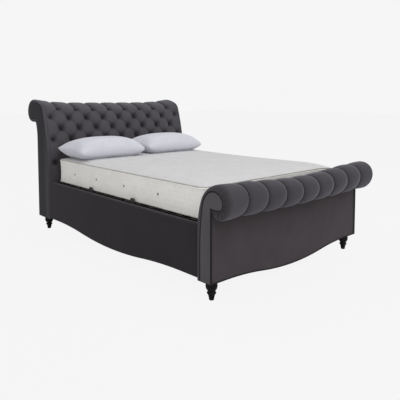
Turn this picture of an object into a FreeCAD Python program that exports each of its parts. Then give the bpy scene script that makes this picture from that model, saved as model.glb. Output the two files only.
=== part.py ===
"""Ottoman bed with scroll ends: an upholstered frame whose sprung platform lifts at the foot."""

import FreeCAD, Part
import math
import os
from FreeCAD import Placement, Rotation, Vector

doc = FreeCAD.newDocument("ottoman_bed")

# Driving sizes in millimetres and degrees
SIZES = {
    # whole bed
    "mattress_side_gap": 79,
    "foot_height": 125,
    "seat_gap": 0.3,
    "overrun": 20,
    # mattress and pillows
    "mattress_width": 1500,
    "mattress_length": 2000,
    "mattress_side": 203,
    "mattress_crown": 21,
    "mattress_corner": 55,
    "mattress_edge": 9,
    "mattress_waist": 5,
    "mattress_clear": 3,
    "mattress_head_gap": 18,
    "mattress_foot_gap": 21,
    "pillow_side_gap": 16.5,
    "pillow_depth": 470,
    "pillow_height": 192,
    "pillow_front_seam": 48,
    "pillow_rear_seam": 98,
    "pillow_seam": 5,
    "pillow_apart": 11,
    "pillow_shift": 42.5,
    "pillow_head_gap": 10,
    "pillow_stagger": 10,
    "pillow_sink": 4.5,
    # scroll headboard
    "head_depth": 251,
    "head_plinth": 450,
    "head_pad_thick": 61,
    "head_back_thick": 12,
    "head_sweep_radius": 2300,
    "head_sweep_turn": 17.7,
    "head_shoulder_radius": 95,
    "head_shoulder_turn": 46.3,
    "head_crest_radius": 400,
    "head_crest_turn": 26,
    "head_roll_radius": 122,
    "head_roll_turn": 205,
    "head_dish": 38,
    "head_flare_start": 875,
    "head_flare_radius": 395,
    "tuft_height": 22,
    "tuft_row_pitch": 105,
    "tuft_end_gap": 45.5,
    "top_row_rise": 731,
    "button_radius": 10,
    "button_height": 7,
    # scroll foot end
    "foot_depth": 128,
    "foot_pad_start": 450,
    "foot_upright": 4,
    "foot_sweep_radius": 502,
    "foot_sweep_turn": 20.9,
    "foot_shoulder_radius": 170,
    "foot_shoulder_turn": 69.1,
    "foot_nose_radius": 95,
    "foot_nose_turn": 90,
    "foot_under_radius": 150,
    "foot_under_turn": 60,
    "foot_lip_radius": 60,
    "foot_lip_turn": 60,
    "foot_dish": 33,
    "flute_depth": 15,
    "end_flute_width": 157,
    "front_panel_thick": 22,
    "front_bow": 50,
    "front_bow_inset": 129.5,
    "facing_thick": 12,
    "end_pad_thick": 12,
    "end_pad_inset": 4,
    # facings on the ends
    "facing_start": 320,
    "facing_rear": 96,
    "facing_sweep_radius": 1760,
    "facing_sweep_turn": 8.9,
    "facing_shoulder_radius": 160,
    "facing_shoulder_turn": 26.1,
    "facing_crest_radius": 90,
    "facing_crest_turn": 55,
    "facing_nose_radius": 72,
    "facing_curl_radius": 36,
    "core_inset": 8,
    "head_facing_inset": 24,
    "head_facing_back_inset": 9,
    # side rails
    "rail_setback": 3,
    "rail_top": 476,
    "rail_bottom": 137,
    "rail_bow": 50,
    "rail_bow_inset": 150,
    "rail_board_thick": 22,
    "rail_pad_thick": 20.5,
    "rail_cap_thick": 7,
    "rail_edge_radius": 16,
    # turned feet
    "bun_radius": 38,
    "bun_height": 67,
    "neck_radius": 23,
    "ring_radius": 29.5,
    "ring_height": 26,
    "taper_radius": 21.5,
    "toe_radius": 15.5,
    "foot_inset_x": 68,
    "foot_inset_y": 62,
    "back_foot_inset_y": 82,
    "screw_radius": 4,
    "screw_length": 30,
    "bore_gap": 0.1,
    # storage floor
    "ledger_depth": 25,
    "ledger_height": 28,
    "floor_thick": 9,
    "floor_joint": 2,
    "floor_gap": 3,
    "floor_top": 180,
    "beam_width": 45,
    "beam_leg_radius": 20,
    # corner brackets and their bolts
    "bracket_leg": 45,
    "bracket_thick": 4,
    "bracket_height": 180,
    "bracket_low": 213,
    "bolt_radius": 4,
    "bolt_head_radius": 8,
    "bolt_head_height": 4,
    "bolt_grip": 16,
    # lift mechanism, seen from the side
    "rear_pivot_from_head": 506.7,
    "rear_pivot_below_rail": 104.6,
    "rear_link_length": 183.95,
    "rear_link_rise": 22.42,
    "front_pivot_from_head": 736.9,
    "front_pivot_below_rail": 173.35,
    "front_link_length": 342.2,
    "front_link_rise": 19.68,
    "strut_pivot_from_head": 504.4,
    "strut_pivot_below_rail": 277,
    "strut_length": 264,
    "strut_rise": 55.95,
    # lift mechanism, across the bed
    "plate_thick": 4,
    "plate_margin": 18,
    "link_thick": 5,
    "link_eye_radius": 13,
    "washer_gap": 1.5,
    "lift_bracket_thick": 5,
    "lift_bracket_margin": 13,
    "pin_radius": 4,
    "pin_clearance": 0.05,
    "pin_small_head_radius": 7,
    "pin_wide_head_radius": 9.5,
    "pin_head_height": 1,
    "open_pivot_play": 3.7,
    "strut_inset": 17,
    "cylinder_radius": 9,
    "rod_radius": 4,
    "rod_clearance": 0.05,
    "cylinder_share": 0.62,
    "eye_radius": 9,
    "open_eye_radius": 12,
    "eye_width": 12,
    # sprung platform
    "tube": 30,
    "tube_wall": 2,
    "platform_drop": 16,
    "tube_end_gap": 2,
    "cross_tube": 25,
    "slat_width": 53,
    "slat_thick": 8,
    "slat_arch": 4.9,
    "slat_play": 1.2,
    "slat_margin": 60,
    "slat_rail": 40,
    "holder_wall": 2.5,
    "holder_length": 26,
    "holder_lap": 20,
    "ledge_depth": 42,
    "ledge_height": 30,
    "stop_radius": 11,
    "stop_height": 8,
    "retainer_width": 58,
    "retainer_thick": 4,
    "retainer_rise": 24,
    "retainer_front": 910,
    "retainer_rear": 1520,
    "strap_length": 150,
    "strap_width": 25,
    "strap_thick": 3,
    "strap_stand": 7,
    "strap_tab": 20,
}

# How the round and folded forms share out their sizes
MID_TUFT_SHARE = 0.8
CREASE_SHARE = 0.3
DIMPLE_SHARE = 0.1
BORDER_SHARE = 0.6
FLUTE_QUARTER_SHARE = 0.15
FLUTE_QUARTER_RISE_SHARE = 0.72
TUFT_ROWS = 7
TUFT_COLUMNS = 8
FLUTES = 9
SLATS = 13
FLOOR_PANELS = 4
ROUND_STEPS = 3
TURNED_SIDES = 16
FACETS = 6
PILLOW_STEPS = 6
PILLOW_DRAW_SHARE = 3
PILLOW_SHARES = [(0, 0.12), (0.06, 0.45), (0.18, 0.8), (0.36, 0.97), (0.64, 0.97), (0.82, 0.8)]
PILLOW_SHARES += [(0.94, 0.45), (1, 0.12)]
MATTRESS_CROWN_SHARES = [(1 / 8, 0.45), (1 / 3, 0.8), (2 / 3, 1)]
CORNER_STEPS = 4

size = doc.addObject("Spreadsheet::Sheet", "size")
for row, (alias, value) in enumerate(SIZES.items(), start=1):
    size.set(f"A{row}", alias)
    size.set(f"B{row}", str(value))
    size.setAlias(f"B{row}", alias)
doc.recompute()
place = doc.addObject("Spreadsheet::Sheet", "place")
placed = []
parts = []


def given(alias):
    return float(size.get(alias))


def put(alias, rule):
    """Names a size that is worked out from the driving sizes."""
    placed.append(alias)
    place.set(f"A{len(placed)}", alias)
    place.set(f"B{len(placed)}", rule if isinstance(rule, str) else str(rule))
    place.setAlias(f"B{len(placed)}", alias)
    place.recompute()
    return float(place.get(alias))


def keep(item, label):
    """Marks an object of the document as a finished piece of the bed."""
    item.Label = label
    parts.append(item)
    return item


def feature(label, shape):
    """A piece whose shape is worked out below from the sizes in the sheet."""
    item = doc.addObject("Part::Feature", label)
    item.Shape = shape
    item.Placement = Placement()
    return keep(item, label)


def box(name, low, high):
    """A block between two corners, each side bound to the sheets."""
    block = doc.addObject("Part::Box", name)
    for side, axis, start, end in zip(("Length", "Width", "Height"), "xyz", low, high):
        block.setExpression(side, f"({end}) - ({start})")
        block.setExpression(f"Placement.Base.{axis}", start)
    return block


def board(label, low, high):
    return keep(box(label, low, high), label)


def side_face(segments):
    """A flat face in the side view from points (y, z), three of them for an arc."""
    edges = []
    for points in segments:
        ends = [Vector(0, y, z) for y, z in points]
        if len(ends) == 3:
            edges.append(Part.Arc(*ends).toShape())
        else:
            edges.append(Part.makeLine(*ends))
    return Part.Face(Part.Wire(edges))


def across(face, low_x, high_x):
    """Extrudes a side view face across the bed."""
    face.translate(Vector(low_x, 0, 0))
    return face.extrude(Vector(high_x - low_x, 0, 0))


def rod(y, z, radius, low_x, high_x):
    """A round bar across the bed."""
    return Part.makeCylinder(radius, high_x - low_x, Vector(low_x, y, z), Vector(1, 0, 0))


def both_sides(solid):
    """The right hand solid and its mirror image."""
    return [solid, solid.mirror(Vector(), Vector(1, 0, 0))]


def sin(angle):
    return math.sin(math.radians(angle))


def cos(angle):
    return math.cos(math.radians(angle))


class Scroll:
    """The side line of a scroll end: it climbs from u = 0 and rolls over towards larger u.
    Each stretch is (radius, turn in degrees), or (0, length) for a straight run."""

    def __init__(self, u, z, stretches, tilt=0.0):
        self.stretches = []
        self.ends = [0.0]
        for radius, turn in stretches:
            length = radius * math.radians(turn) if radius else turn
            self.stretches.append((u, z, tilt, radius, length))
            if radius:
                start, tilt = tilt, tilt + turn
                u += radius * (cos(start) - cos(tilt))
                z += radius * (sin(tilt) - sin(start))
            else:
                u += length * sin(tilt)
                z += length * cos(tilt)
            self.ends.append(self.ends[-1] + length)
        self.last = (u, z)
        self.tilt = tilt

    def at(self, run, out=0.0):
        """The point after a run along the line, stood off outwards by out."""
        for (u, z, tilt, radius, length), start in zip(self.stretches, self.ends):
            along = run - start
            if along <= length + 1e-9:
                break
        if radius:
            turned = tilt + math.degrees(along / radius)
            u += radius * (cos(tilt) - cos(turned)) - out * cos(turned)
            z += radius * (sin(turned) - sin(tilt)) + out * sin(turned)
        else:
            u += along * sin(tilt) - out * cos(tilt)
            z += along * cos(tilt) + out * sin(tilt)
        return u, z

    def stretch_points(self, index, out=0.0):
        """End and middle points of one stretch, two for a straight one."""
        start, end = self.ends[index], self.ends[index + 1]
        runs = [start, (start + end) / 2, end] if self.stretches[index][3] else [start, end]
        return [self.at(run, out) for run in runs]


# The headboard's outer line, and the foot end's, which rolls the other way
head_line = Scroll(
    0,
    given("head_plinth"),
    [
        (given("head_sweep_radius"), given("head_sweep_turn")),
        (given("head_shoulder_radius"), given("head_shoulder_turn")),
        (given("head_crest_radius"), given("head_crest_turn")),
        (given("head_roll_radius"), 90),
        (given("head_roll_radius"), given("head_roll_turn") - 90),
    ],
)
foot_line = Scroll(
    0,
    given("foot_pad_start"),
    [
        (0, given("foot_upright")),
        (given("foot_sweep_radius"), given("foot_sweep_turn")),
        (given("foot_shoulder_radius"), given("foot_shoulder_turn")),
        (given("foot_nose_radius"), given("foot_nose_turn")),
        (given("foot_under_radius"), given("foot_under_turn")),
        (given("foot_lip_radius"), given("foot_lip_turn")),
    ],
)
head_reach = put("head_reach", head_line.at(head_line.ends[4])[0] - given("head_depth"))
foot_reach = put("foot_reach", foot_line.at(foot_line.ends[4])[0] - given("foot_depth"))

# Places along the bed, from the foot end (low y) to the head (high y)
inner_length = "size.mattress_foot_gap + size.mattress_length + size.mattress_head_gap"
base_length = put("base_length", f"=size.foot_depth + {inner_length} + size.head_depth")
front = put("front", "=-(base_length + head_reach - foot_reach) / 2")
foot_face = put("foot_face", "=front + size.foot_depth")
back = put("back", "=front + base_length")
head_face = put("head_face", "=back - size.head_depth")
bed_head = put("bed_head", "=head_face - size.mattress_head_gap")
bed_foot = put("bed_foot", "=bed_head - size.mattress_length")

# Places across the bed
half_width = put("half_width", "=size.mattress_width / 2 + size.mattress_side_gap")
end_x = put("end_x", "=half_width - size.facing_thick")
core_x = put("core_x", "=end_x - size.end_pad_thick")
tuft_pitch = put("tuft_pitch", f"=(core_x - size.tuft_end_gap) / {TUFT_COLUMNS}")
flute_pitch = put("flute_pitch", f"=(core_x - size.end_flute_width) / {(FLUTES - 2) / 2}")
pillow_room = "(size.mattress_width - size.pillow_apart) / 2"
pillow_length = put("pillow_length", f"={pillow_room} - size.pillow_side_gap")
rail_face = put("rail_face", "=half_width - size.rail_setback")
rail_split = put("rail_split", "=rail_face - size.rail_pad_thick")
rail_inner = put("rail_inner", "=rail_split - size.rail_board_thick")
plate_x = put("plate_x", "=rail_inner - size.plate_thick")
rear_link_x = put("rear_link_x", "=plate_x - size.washer_gap - size.link_thick")
front_link_x = put("front_link_x", "=rear_link_x - size.washer_gap - size.link_thick")
bracket_x = put("bracket_x", "=front_link_x - size.washer_gap - size.lift_bracket_thick")
tube_x = put("tube_x", "=bracket_x - size.tube")
strut_x = put("strut_x", "=bracket_x - size.strut_inset")

# Heights
bed_bottom = put("bed_bottom", "=size.rail_top + size.mattress_clear")
tube_top = put("tube_top", "=bed_bottom - size.platform_drop")
tube_bottom = put("tube_bottom", "=tube_top - size.tube")
floor_bottom = put("floor_bottom", "=size.floor_top - size.floor_thick")
ledger_bottom = put("ledger_bottom", "=floor_bottom - size.ledger_height")
bed_top = put("bed_top", "=bed_bottom + size.mattress_side + size.mattress_crown")


def head_point(point):
    return head_face + point[0], point[1]


def foot_point(point):
    return foot_face - point[0], point[1]


def dish(x, half, depth):
    """How far a scroll's crest sags, nothing at its ends and most at the middle."""
    return depth * math.cos(math.pi * x / (2 * half)) ** 2


def lowered(point, sag, low, high):
    """Lowers a point by the sag, by less near the foot of the scroll."""
    y, z = point
    weight = min(1.0, max(0.0, (z - low) / (high - low)))
    return y, z - sag * weight


def sketch(body, role, outlines):
    """A sketch on one of the body's own planes, of lines and three point arcs."""
    plane = next(item for item in body.Origin.OriginFeatures if item.Role == role)
    drawing = body.newObject("Sketcher::SketchObject", body.Name + "_sketch")
    drawing.AttachmentSupport = [(plane, "")]
    drawing.MapMode = "FlatFace"
    for points in outlines:
        ends = [Vector(u, v, 0) for u, v in points]
        if len(ends) == 3:
            drawing.addGeometry(Part.Arc(*ends))
        elif (ends[0] - ends[1]).Length > 1e-6:
            drawing.addGeometry(Part.LineSegment(*ends))
    return drawing


def padded(name, role, outlines, length, base):
    """A body made by padding an outline, its length and its place bound to the sheets."""
    body = doc.addObject("PartDesign::Body", name)
    pad = body.newObject("PartDesign::Pad", name + "_pad")
    pad.Profile = sketch(body, role, outlines)
    pad.setExpression("Length", length)
    for axis, rule in zip("xyz", base):
        body.setExpression(f"Placement.Base.{axis}", rule)
    doc.recompute()
    return body


def mirrored(source, label):
    """The left hand twin of a right hand piece."""
    twin = doc.addObject("Part::Mirroring", label)
    twin.Source = source
    twin.Normal = Vector(1, 0, 0)
    return keep(twin, label)


def group(label, solids):
    """Like pieces that share one name, each a solid of its own."""
    return feature(label, Part.makeCompound(solids))


def folded(sections):
    """A solid through like sections of points, each bay between two marks folded once."""
    count = len(sections[0])
    points = [point for section in sections for point in section]
    facets = []
    for bay in range(len(sections) - 1):
        for mark in range(count):
            a = bay * count + mark
            b = bay * count + (mark + 1) % count
            c, d = a + count, b + count
            if points[a].distanceToPoint(points[d]) < points[b].distanceToPoint(points[c]):
                facets += [(a, c, d), (a, d, b)]
            else:
                facets += [(a, c, b), (b, c, d)]
    loops = [[points[index] for index in facet] for facet in facets]
    loops += [list(sections[0]), list(sections[-1])]
    shell = Part.makeShell([Part.Face(Part.makePolygon(loop + loop[:1])) for loop in loops])
    shell.sewShape()
    return Part.makeSolid(shell).removeSplitter()


def stepped(start, end):
    """Runs from start to end of a round stretch, without the start."""
    return [start + (end - start) * step / ROUND_STEPS for step in range(1, ROUND_STEPS + 1)]


def wrapped(line, depth, begin, count):
    """Points along the first stretches of a scroll at a depth inside it, set out from there so
    that the straight folds between them clear the arcs by the gap."""
    marks, stands = [begin], [0.0]
    for index in range(count):
        start, end = max(begin, line.ends[index]), line.ends[index + 1]
        radius = line.stretches[index][3]
        half_step = (end - start) / radius / ROUND_STEPS / 2 if radius else 0.0
        rise = (radius - depth) * (1 / math.cos(half_step) - 1)
        stands[-1] = max(stands[-1], rise)
        marks += stepped(start, end)
        stands += [rise] * ROUND_STEPS
    return [line.at(run, stand + gap - depth) for run, stand in zip(marks, stands)]


# Headboard: timber core with a plinth of full depth. Above the plinth it follows the outer
# line inside the padding, round the roll, and the back flares out under the roll
gap = given("seat_gap")
floor_line = given("foot_height")
plinth = given("head_plinth")
flare_top = head_line.last[1] - given("head_dish") - gap


def flare(inset):
    """The back of the headboard from under the roll down to where it is upright."""
    start = given("head_flare_start")
    radius = given("head_flare_radius") + inset
    reach = given("head_depth") - inset
    turn = math.degrees(math.asin((flare_top - start) / radius))
    angles = (turn, turn / 2, 0)
    return [head_point((reach + radius * (1 - cos(a)), start + radius * sin(a))) for a in angles]


def head_outline(front_inset, stand, back_inset):
    """The headboard from the side: front, roll, flared back, and the bottom."""
    face = head_face + front_inset
    rounds = [[head_point(p) for p in head_line.stretch_points(i, -stand)] for i in range(5)]
    rear = flare(back_inset)
    return [
        [(face, floor_line), (face, plinth)],
        [(face, plinth), rounds[0][0]],
        *rounds,
        [rounds[-1][-1], rear[0]],
        rear,
        [rear[-1], (rear[-1][0], floor_line)],
        [(rear[-1][0], floor_line), (face, floor_line)],
    ]


head_core = across(
    side_face(head_outline(0, given("head_pad_thick"), given("head_back_thick"))), -core_x, core_x
)

# Foot end: timber core, hook shaped like the facings that close its ends, on a full plinth
facing_line = Scroll(
    0,
    given("facing_start"),
    [
        (given("facing_sweep_radius"), given("facing_sweep_turn")),
        (given("facing_shoulder_radius"), given("facing_shoulder_turn")),
        (given("facing_crest_radius"), given("facing_crest_turn")),
        (given("facing_nose_radius"), 90),
        (given("facing_curl_radius"), 90),
    ],
)
panel_back = put("panel_back", "=front + size.front_panel_thick")
foot_plinth = given("foot_pad_start")


def hook_point(point):
    return front + given("facing_rear") - point[0], point[1]


def hook_outline(inset, face):
    """The foot end's hook: up the rear, round the scroll, and down the front face."""
    rounds = [[hook_point(p) for p in facing_line.stretch_points(i, -inset)] for i in range(5)]
    rear = rounds[0][0]
    curl = rounds[-1][-1]
    return [
        [(rear[0], floor_line), rear],
        *rounds,
        [curl, (face, curl[1])],
        [(face, curl[1]), (face, floor_line)],
        [(face, floor_line), (rear[0], floor_line)],
    ]


core_inset = given("core_inset")
foot_core = across(side_face(hook_outline(core_inset, panel_back)), -core_x, core_x)
foot_block = Part.makeBox(
    2 * core_x,
    foot_face - panel_back,
    foot_plinth - floor_line,
    Vector(-core_x, panel_back, floor_line),
)
foot_core = foot_core.fuse(foot_block).removeSplitter()
panel_top = facing_line.at(facing_line.ends[5], -core_inset)[1] - gap

# Turned feet, one under each corner, with the screws that hold them in the cores
foot_x = put("foot_x", "=half_width - size.foot_inset_x")
front_foot_y = put("front_foot_y", "=front + size.foot_inset_y")
back_foot_y = put("back_foot_y", "=back - size.back_foot_inset_y")


def prism(radius, length, point, direction, sides=FACETS):
    """A short bar with flat sides, such as a bolt."""
    turn = Rotation(Vector(0, 0, 1), direction)
    angles = [360 * side / sides for side in range(sides)]
    loop = [point + turn.multVec(Vector(radius * cos(a), radius * sin(a), 0)) for a in angles]
    return Part.Face(Part.makePolygon(loop + loop[:1])).extrude(direction * length)


def chords(start, middle, end, count):
    """Straight cuts along the arc through three points, as (start, end) pairs."""
    arc = Part.Arc(*[Vector(u, v, 0) for u, v in (start, middle, end)]).toShape()
    marks = [(point.x, point.y) for point in arc.discretize(count + 1)]
    return [list(pair) for pair in zip(marks, marks[1:])]


bore_gap = given("bore_gap")
up = Vector(0, 0, 1)
screw_bores = [
    prism(given("screw_radius") + bore_gap, given("screw_length") + gap, Vector(x, y, floor_line), up)
    for y in (front_foot_y, back_foot_y)
    for x in (-foot_x, foot_x)
]


def turned_foot(label, x, y):
    """A bun, a neck, a ring and a taper turned in one piece, with its screw on top."""
    top = floor_line
    waist = top - given("bun_height")
    taper = waist - given("ring_height")
    bun, neck = given("bun_radius"), given("neck_radius")
    swell = chords(((bun + neck) / 2, top), (bun, (top + waist) / 2), (neck, waist), ROUND_STEPS)
    marks = [(given("toe_radius"), 0), (given("taper_radius"), taper)]
    marks += [(given("ring_radius"), (waist + taper) / 2)]
    marks += [pair[1] for pair in swell[::-1]] + [swell[0][0]]
    angles = [360 * side / TURNED_SIDES for side in range(TURNED_SIDES)]
    rings = [[Vector(x + r * cos(a), y + r * sin(a), z) for a in angles] for r, z in marks]
    screw = prism(given("screw_radius"), given("screw_length"), Vector(x, y, top), up)
    feature(label, folded(rings).fuse(screw).removeSplitter())


turned_foot("front_left_foot", -foot_x, front_foot_y)
turned_foot("front_right_foot", foot_x, front_foot_y)
turned_foot("back_left_foot", -foot_x, back_foot_y)
turned_foot("back_right_foot", foot_x, back_foot_y)


# Corner brackets: steel angles inside the box, bolted to the cores and to the rail boards
def corner_bolts():
    """Every bracket bolt as (head face point, direction into the timber)."""
    leg = given("bracket_leg")
    low, high = given("bracket_low"), given("bracket_low") + given("bracket_height")
    inner = rail_inner
    bolts = []
    for rise_share in (1 / 4, 3 / 4):
        z = low + (high - low) * rise_share
        for side in (-1, 1):
            for face, outward in ((foot_face, -1), (head_face, 1)):
                thick = -outward * given("bracket_thick")
                on_core = Vector(side * (inner - leg * 5 / 8), face + thick, z)
                bolts.append((on_core, Vector(0, outward, 0)))
                on_rail = Vector(side * (inner - abs(thick)), face - outward * leg * 5 / 8, z)
                bolts.append((on_rail, Vector(side, 0, 0)))
    return bolts


def bolt(point, direction, grip):
    """A hexagon headed bolt with its shank in the timber."""
    height = given("bolt_head_height")
    head = prism(given("bolt_head_radius"), height, point - direction * height, direction)
    return head.fuse(prism(given("bolt_radius"), grip, point, direction)).removeSplitter()


def bolt_bore(point, direction, grip):
    start = point - direction * given("overrun")
    return prism(given("bolt_radius") + bore_gap, grip + given("overrun") + gap, start, direction)


bracket_low, bracket_leg = given("bracket_low"), given("bracket_leg")
bracket_thick = given("bracket_thick")
corner_grip = given("bolt_grip")
bolt_places = corner_bolts()
bolt_bores = [bolt_bore(point, way, corner_grip) for point, way in bolt_places]
brackets = []
for face, way in ((foot_face, 1), (head_face, -1)):
    corner = Vector(rail_inner, face, bracket_low)
    spots = [(0, 0), (-1, 0), (-1, 1), (0, 1)]
    legs = []
    for reach_x, reach_y in ((bracket_leg, bracket_thick), (bracket_thick, bracket_leg)):
        loop = [corner + Vector(u * reach_x, v * way * reach_y, 0) for u, v in spots]
        plate = Part.Face(Part.makePolygon(loop + loop[:1]))
        legs.append(plate.extrude(Vector(0, 0, given("bracket_height"))))
    brackets += both_sides(legs[0].fuse(legs[1]).removeSplitter())
group("corner_brackets", [item.cut(Part.makeCompound(bolt_bores)) for item in brackets])
group("corner_bolts", [bolt(point, way, corner_grip) for point, way in bolt_places])
core_bores = Part.makeCompound(screw_bores + bolt_bores)
feature("headboard_frame", head_core.cut(core_bores))
feature("footboard_frame", foot_core.cut(core_bores))


# Tufted pad of the headboard. Its side sections stand at every button column and halfway
# between, and the folds between them run straight from button to button
def tuft_marks(column):
    """The pad's marks at a column, as (run up the line, height over the buttons)."""
    rise = given("tuft_height")
    reach = given("button_radius")
    pitch = given("tuft_row_pitch")
    top_row = given("top_row_rise")
    on_buttons = float(column).is_integer()
    border = abs(column) > TUFT_COLUMNS
    flank = rise * (BORDER_SHARE if border else MID_TUFT_SHARE)
    if on_buttons and not border:
        flank = 0.0 if column % 2 else rise
    marks = [(0.0, flank), (top_row - pitch * (TUFT_ROWS - 1) - reach, flank)]
    for row in range(TUFT_ROWS, 0, -1):
        run = top_row - pitch * (row - 1)
        sunk = on_buttons and not border and (column + row) % 2 == 0
        crown = rise if on_buttons and not border else flank
        marks.append((run, 0.0 if sunk else crown))
        if border:
            marks.append((run + pitch / 2, flank))
        elif sunk:
            marks.append((run + reach, 0.0))
        elif on_buttons:
            marks.append((run + pitch - reach, 0.0))
        else:
            marks.append((run + pitch / 2, rise * CREASE_SHARE))
    marks[-1] = (top_row + reach, flank)
    return marks


def head_section(column, x):
    """The headboard's padding at x: its tufted front and roll, and the core's line back."""
    rise = given("tuft_height")
    marks = tuft_marks(column)
    flank = marks[-1][1]
    for start, end in zip([marks[-1][0], *head_line.ends[2:]], head_line.ends[2:]):
        marks += [(run, flank) for run in stepped(start, end)]
    sag = dish(x, end_x, given("head_dish"))
    low, high = head_line.at(marks[3][0])[1], head_line.at(head_line.ends[2])[1]
    outer = [
        lowered(head_point(head_line.at(run, height - rise)), sag, low, high)
        for run, height in marks
    ]
    inner = [head_point(point) for point in wrapped(head_line, given("head_pad_thick"), 0.0, 5)]
    return [Vector(x, y, z) for y, z in outer + inner[::-1]]


columns = [step / 2 for step in range(-2 * TUFT_COLUMNS, 2 * TUFT_COLUMNS + 1)]
stations = [(column, column * tuft_pitch) for column in columns]
pad_end = core_x - gap
stations.insert(0, (-TUFT_COLUMNS - 1, -pad_end))
stations.append((TUFT_COLUMNS + 1, pad_end))
feature("headboard_pad", folded([head_section(column, x) for column, x in stations]))


def tuft_button(column, row):
    """A covered button: a flat cone that sits down into its dimple."""
    x = column * tuft_pitch
    run = given("top_row_rise") - given("tuft_row_pitch") * (row - 1)
    rise, radius, height = given("tuft_height"), given("button_radius"), given("button_height")
    sag = dish(x, end_x, given("head_dish"))
    low = head_line.at(given("top_row_rise") - given("tuft_row_pitch") * (TUFT_ROWS - 1))[1]
    high = head_line.at(head_line.ends[2])[1]
    y, z = lowered(head_point(head_line.at(run, 0)), sag, low, high)
    y_out, z_out = lowered(head_point(head_line.at(run, 1)), sag, low, high)
    way = Vector(0, y_out - y, z_out - z)
    way.normalize()
    turn = Rotation(Vector(0, 0, 1), way)
    angles = [360 * side / FACETS for side in range(FACETS)]
    rings = []
    for out, share in ((gap * 3.5, DIMPLE_SHARE), (height * 2 / 3, 1), (height, 2 / 3)):
        centre = Vector(x, y, z) + way * (out - rise)
        reach = radius * share
        rings.append([centre + turn.multVec(Vector(cos(a), sin(a), 0) * reach) for a in angles])
    return folded(rings)


spots = [
    (column, row)
    for row in range(1, TUFT_ROWS + 1)
    for column in range(-TUFT_COLUMNS, TUFT_COLUMNS + 1)
    if (column + row) % 2 == 0
]
group("headboard_buttons", [tuft_button(column, row) for column, row in spots])

# Headboard: outside back panel, end pads and facings
back_outer, back_inner = flare(0), flare(given("head_back_thick") - gap)
back_outline = [
    back_outer,
    [back_outer[-1], (back_outer[-1][0], floor_line)],
    [(back_outer[-1][0], floor_line), (back_inner[-1][0], floor_line)],
    [(back_inner[-1][0], floor_line), back_inner[-1]],
    back_inner[::-1],
    [back_inner[0], back_outer[0]],
]
feature("headboard_back", across(side_face(back_outline), -end_x + gap, end_x - gap))
end_inset = given("end_pad_inset")
head_end = head_outline(0, end_inset, given("head_back_thick") + gap)
head_end_pad = across(side_face(head_end), core_x, end_x)
group("headboard_end_pads", both_sides(head_end_pad))
facing_inset = given("head_facing_inset")
padded(
    "headboard_right_facing",
    "YZ_Plane",
    head_outline(facing_inset, facing_inset, given("head_facing_back_inset")),
    "size.facing_thick",
    ("place.end_x", "0", "0"),
)
head_facing = keep(doc.getObject("headboard_right_facing"), "headboard_right_facing")
mirrored(head_facing, "headboard_left_facing")


# Foot end: fluted pad, front panel, end pads and facings
def lip_run():
    """The pad's last straight run, from its lip up to the front panel's face."""
    reach = foot_line.last[0] - given("foot_depth") - gap
    return reach / -sin(foot_line.tilt)


def foot_runs():
    """The marks along the foot end's outer line."""
    runs = [0.0, foot_line.ends[1]]
    for start, end in zip(foot_line.ends[1:], foot_line.ends[2:]):
        runs += stepped(start, end)
    return runs


def foot_section(x, height):
    """The foot end's padding at x, where its flutes stand to a share of their height."""
    deep = given("flute_depth") * (1 - height)
    sag = dish(x, end_x, given("foot_dish"))
    low, high = foot_plinth, foot_line.at(foot_line.ends[3])[1]
    curl = hook_point(facing_line.at(facing_line.ends[5], gap - core_inset))
    outer = [
        lowered(foot_point(foot_line.at(run, -deep * min(1.0, run / foot_line.ends[2]))),
                sag, low, high)
        for run in foot_runs()
    ]
    lip = foot_line.at(foot_line.ends[-1] - 1e-6)
    rise = lip_run() * cos(foot_line.tilt)
    lip_end = (front - gap, lip[1] + rise)
    outer += [lip_end, (front - gap, curl[1])]
    sweep = given("facing_sweep_radius")
    climb = foot_plinth + 2 * gap - given("facing_start")
    start = sweep * math.asin(climb / (sweep - core_inset))
    inner = [hook_point(point) for point in wrapped(facing_line, core_inset, start, 5)]
    return [Vector(x, y, z) for y, z in outer + inner[::-1]]


def flute_stations():
    """Where the flutes' sections stand, and to what share of their height."""
    quarter = flute_pitch * FLUTE_QUARTER_SHARE
    grooves = [(groove - FLUTES / 2) * flute_pitch for groove in range(1, FLUTES)]
    found = [(-pad_end, 0.0), (-pad_end + quarter, FLUTE_QUARTER_RISE_SHARE)]
    found.append(((grooves[0] - pad_end) / 2, 1.0))
    for groove, following in zip(grooves, [*grooves[1:], pad_end]):
        end = following == pad_end
        found.append((groove - quarter, FLUTE_QUARTER_RISE_SHARE))
        found.append((groove, 0.0))
        found.append((groove + quarter, FLUTE_QUARTER_RISE_SHARE))
        found.append(((groove + following) / 2, 1.0))
    found += [(pad_end - quarter, FLUTE_QUARTER_RISE_SHARE), (pad_end, 0.0)]
    return found


feature("footboard_pad", folded([foot_section(x, height) for x, height in flute_stations()]))


def ogee(start, end):
    """Two arcs from start to end, level at both ends."""
    (u0, v0), (u1, v1) = start, end
    run, drop = (u1 - u0) / 2, (v1 - v0) / 2
    radius = (run * run + drop * drop) / (2 * drop)
    quarter = radius - math.copysign(math.sqrt(radius * radius - run * run / 4), radius)
    middle = (u0 + run, v0 + drop)
    return [
        [start, (u0 + run / 2, v0 + quarter), middle],
        [middle, (u1 - run / 2, v1 - quarter), end],
    ]


def bowed(low_u, high_u, flat_low, flat_high, bottom, bow, top):
    """An outline whose lower edge hangs down in a bow between two level stretches."""
    middle = ((flat_low + flat_high) / 2, bottom - bow)
    return [
        [(low_u, top), (low_u, bottom)],
        [(low_u, bottom), (flat_low, bottom)],
        *ogee((flat_low, bottom), middle),
        *[arc[::-1] for arc in ogee((flat_high, bottom), middle)[::-1]],
        [(flat_high, bottom), (high_u, bottom)],
        [(high_u, bottom), (high_u, top)],
        [(high_u, top), (low_u, top)],
    ]


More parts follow.
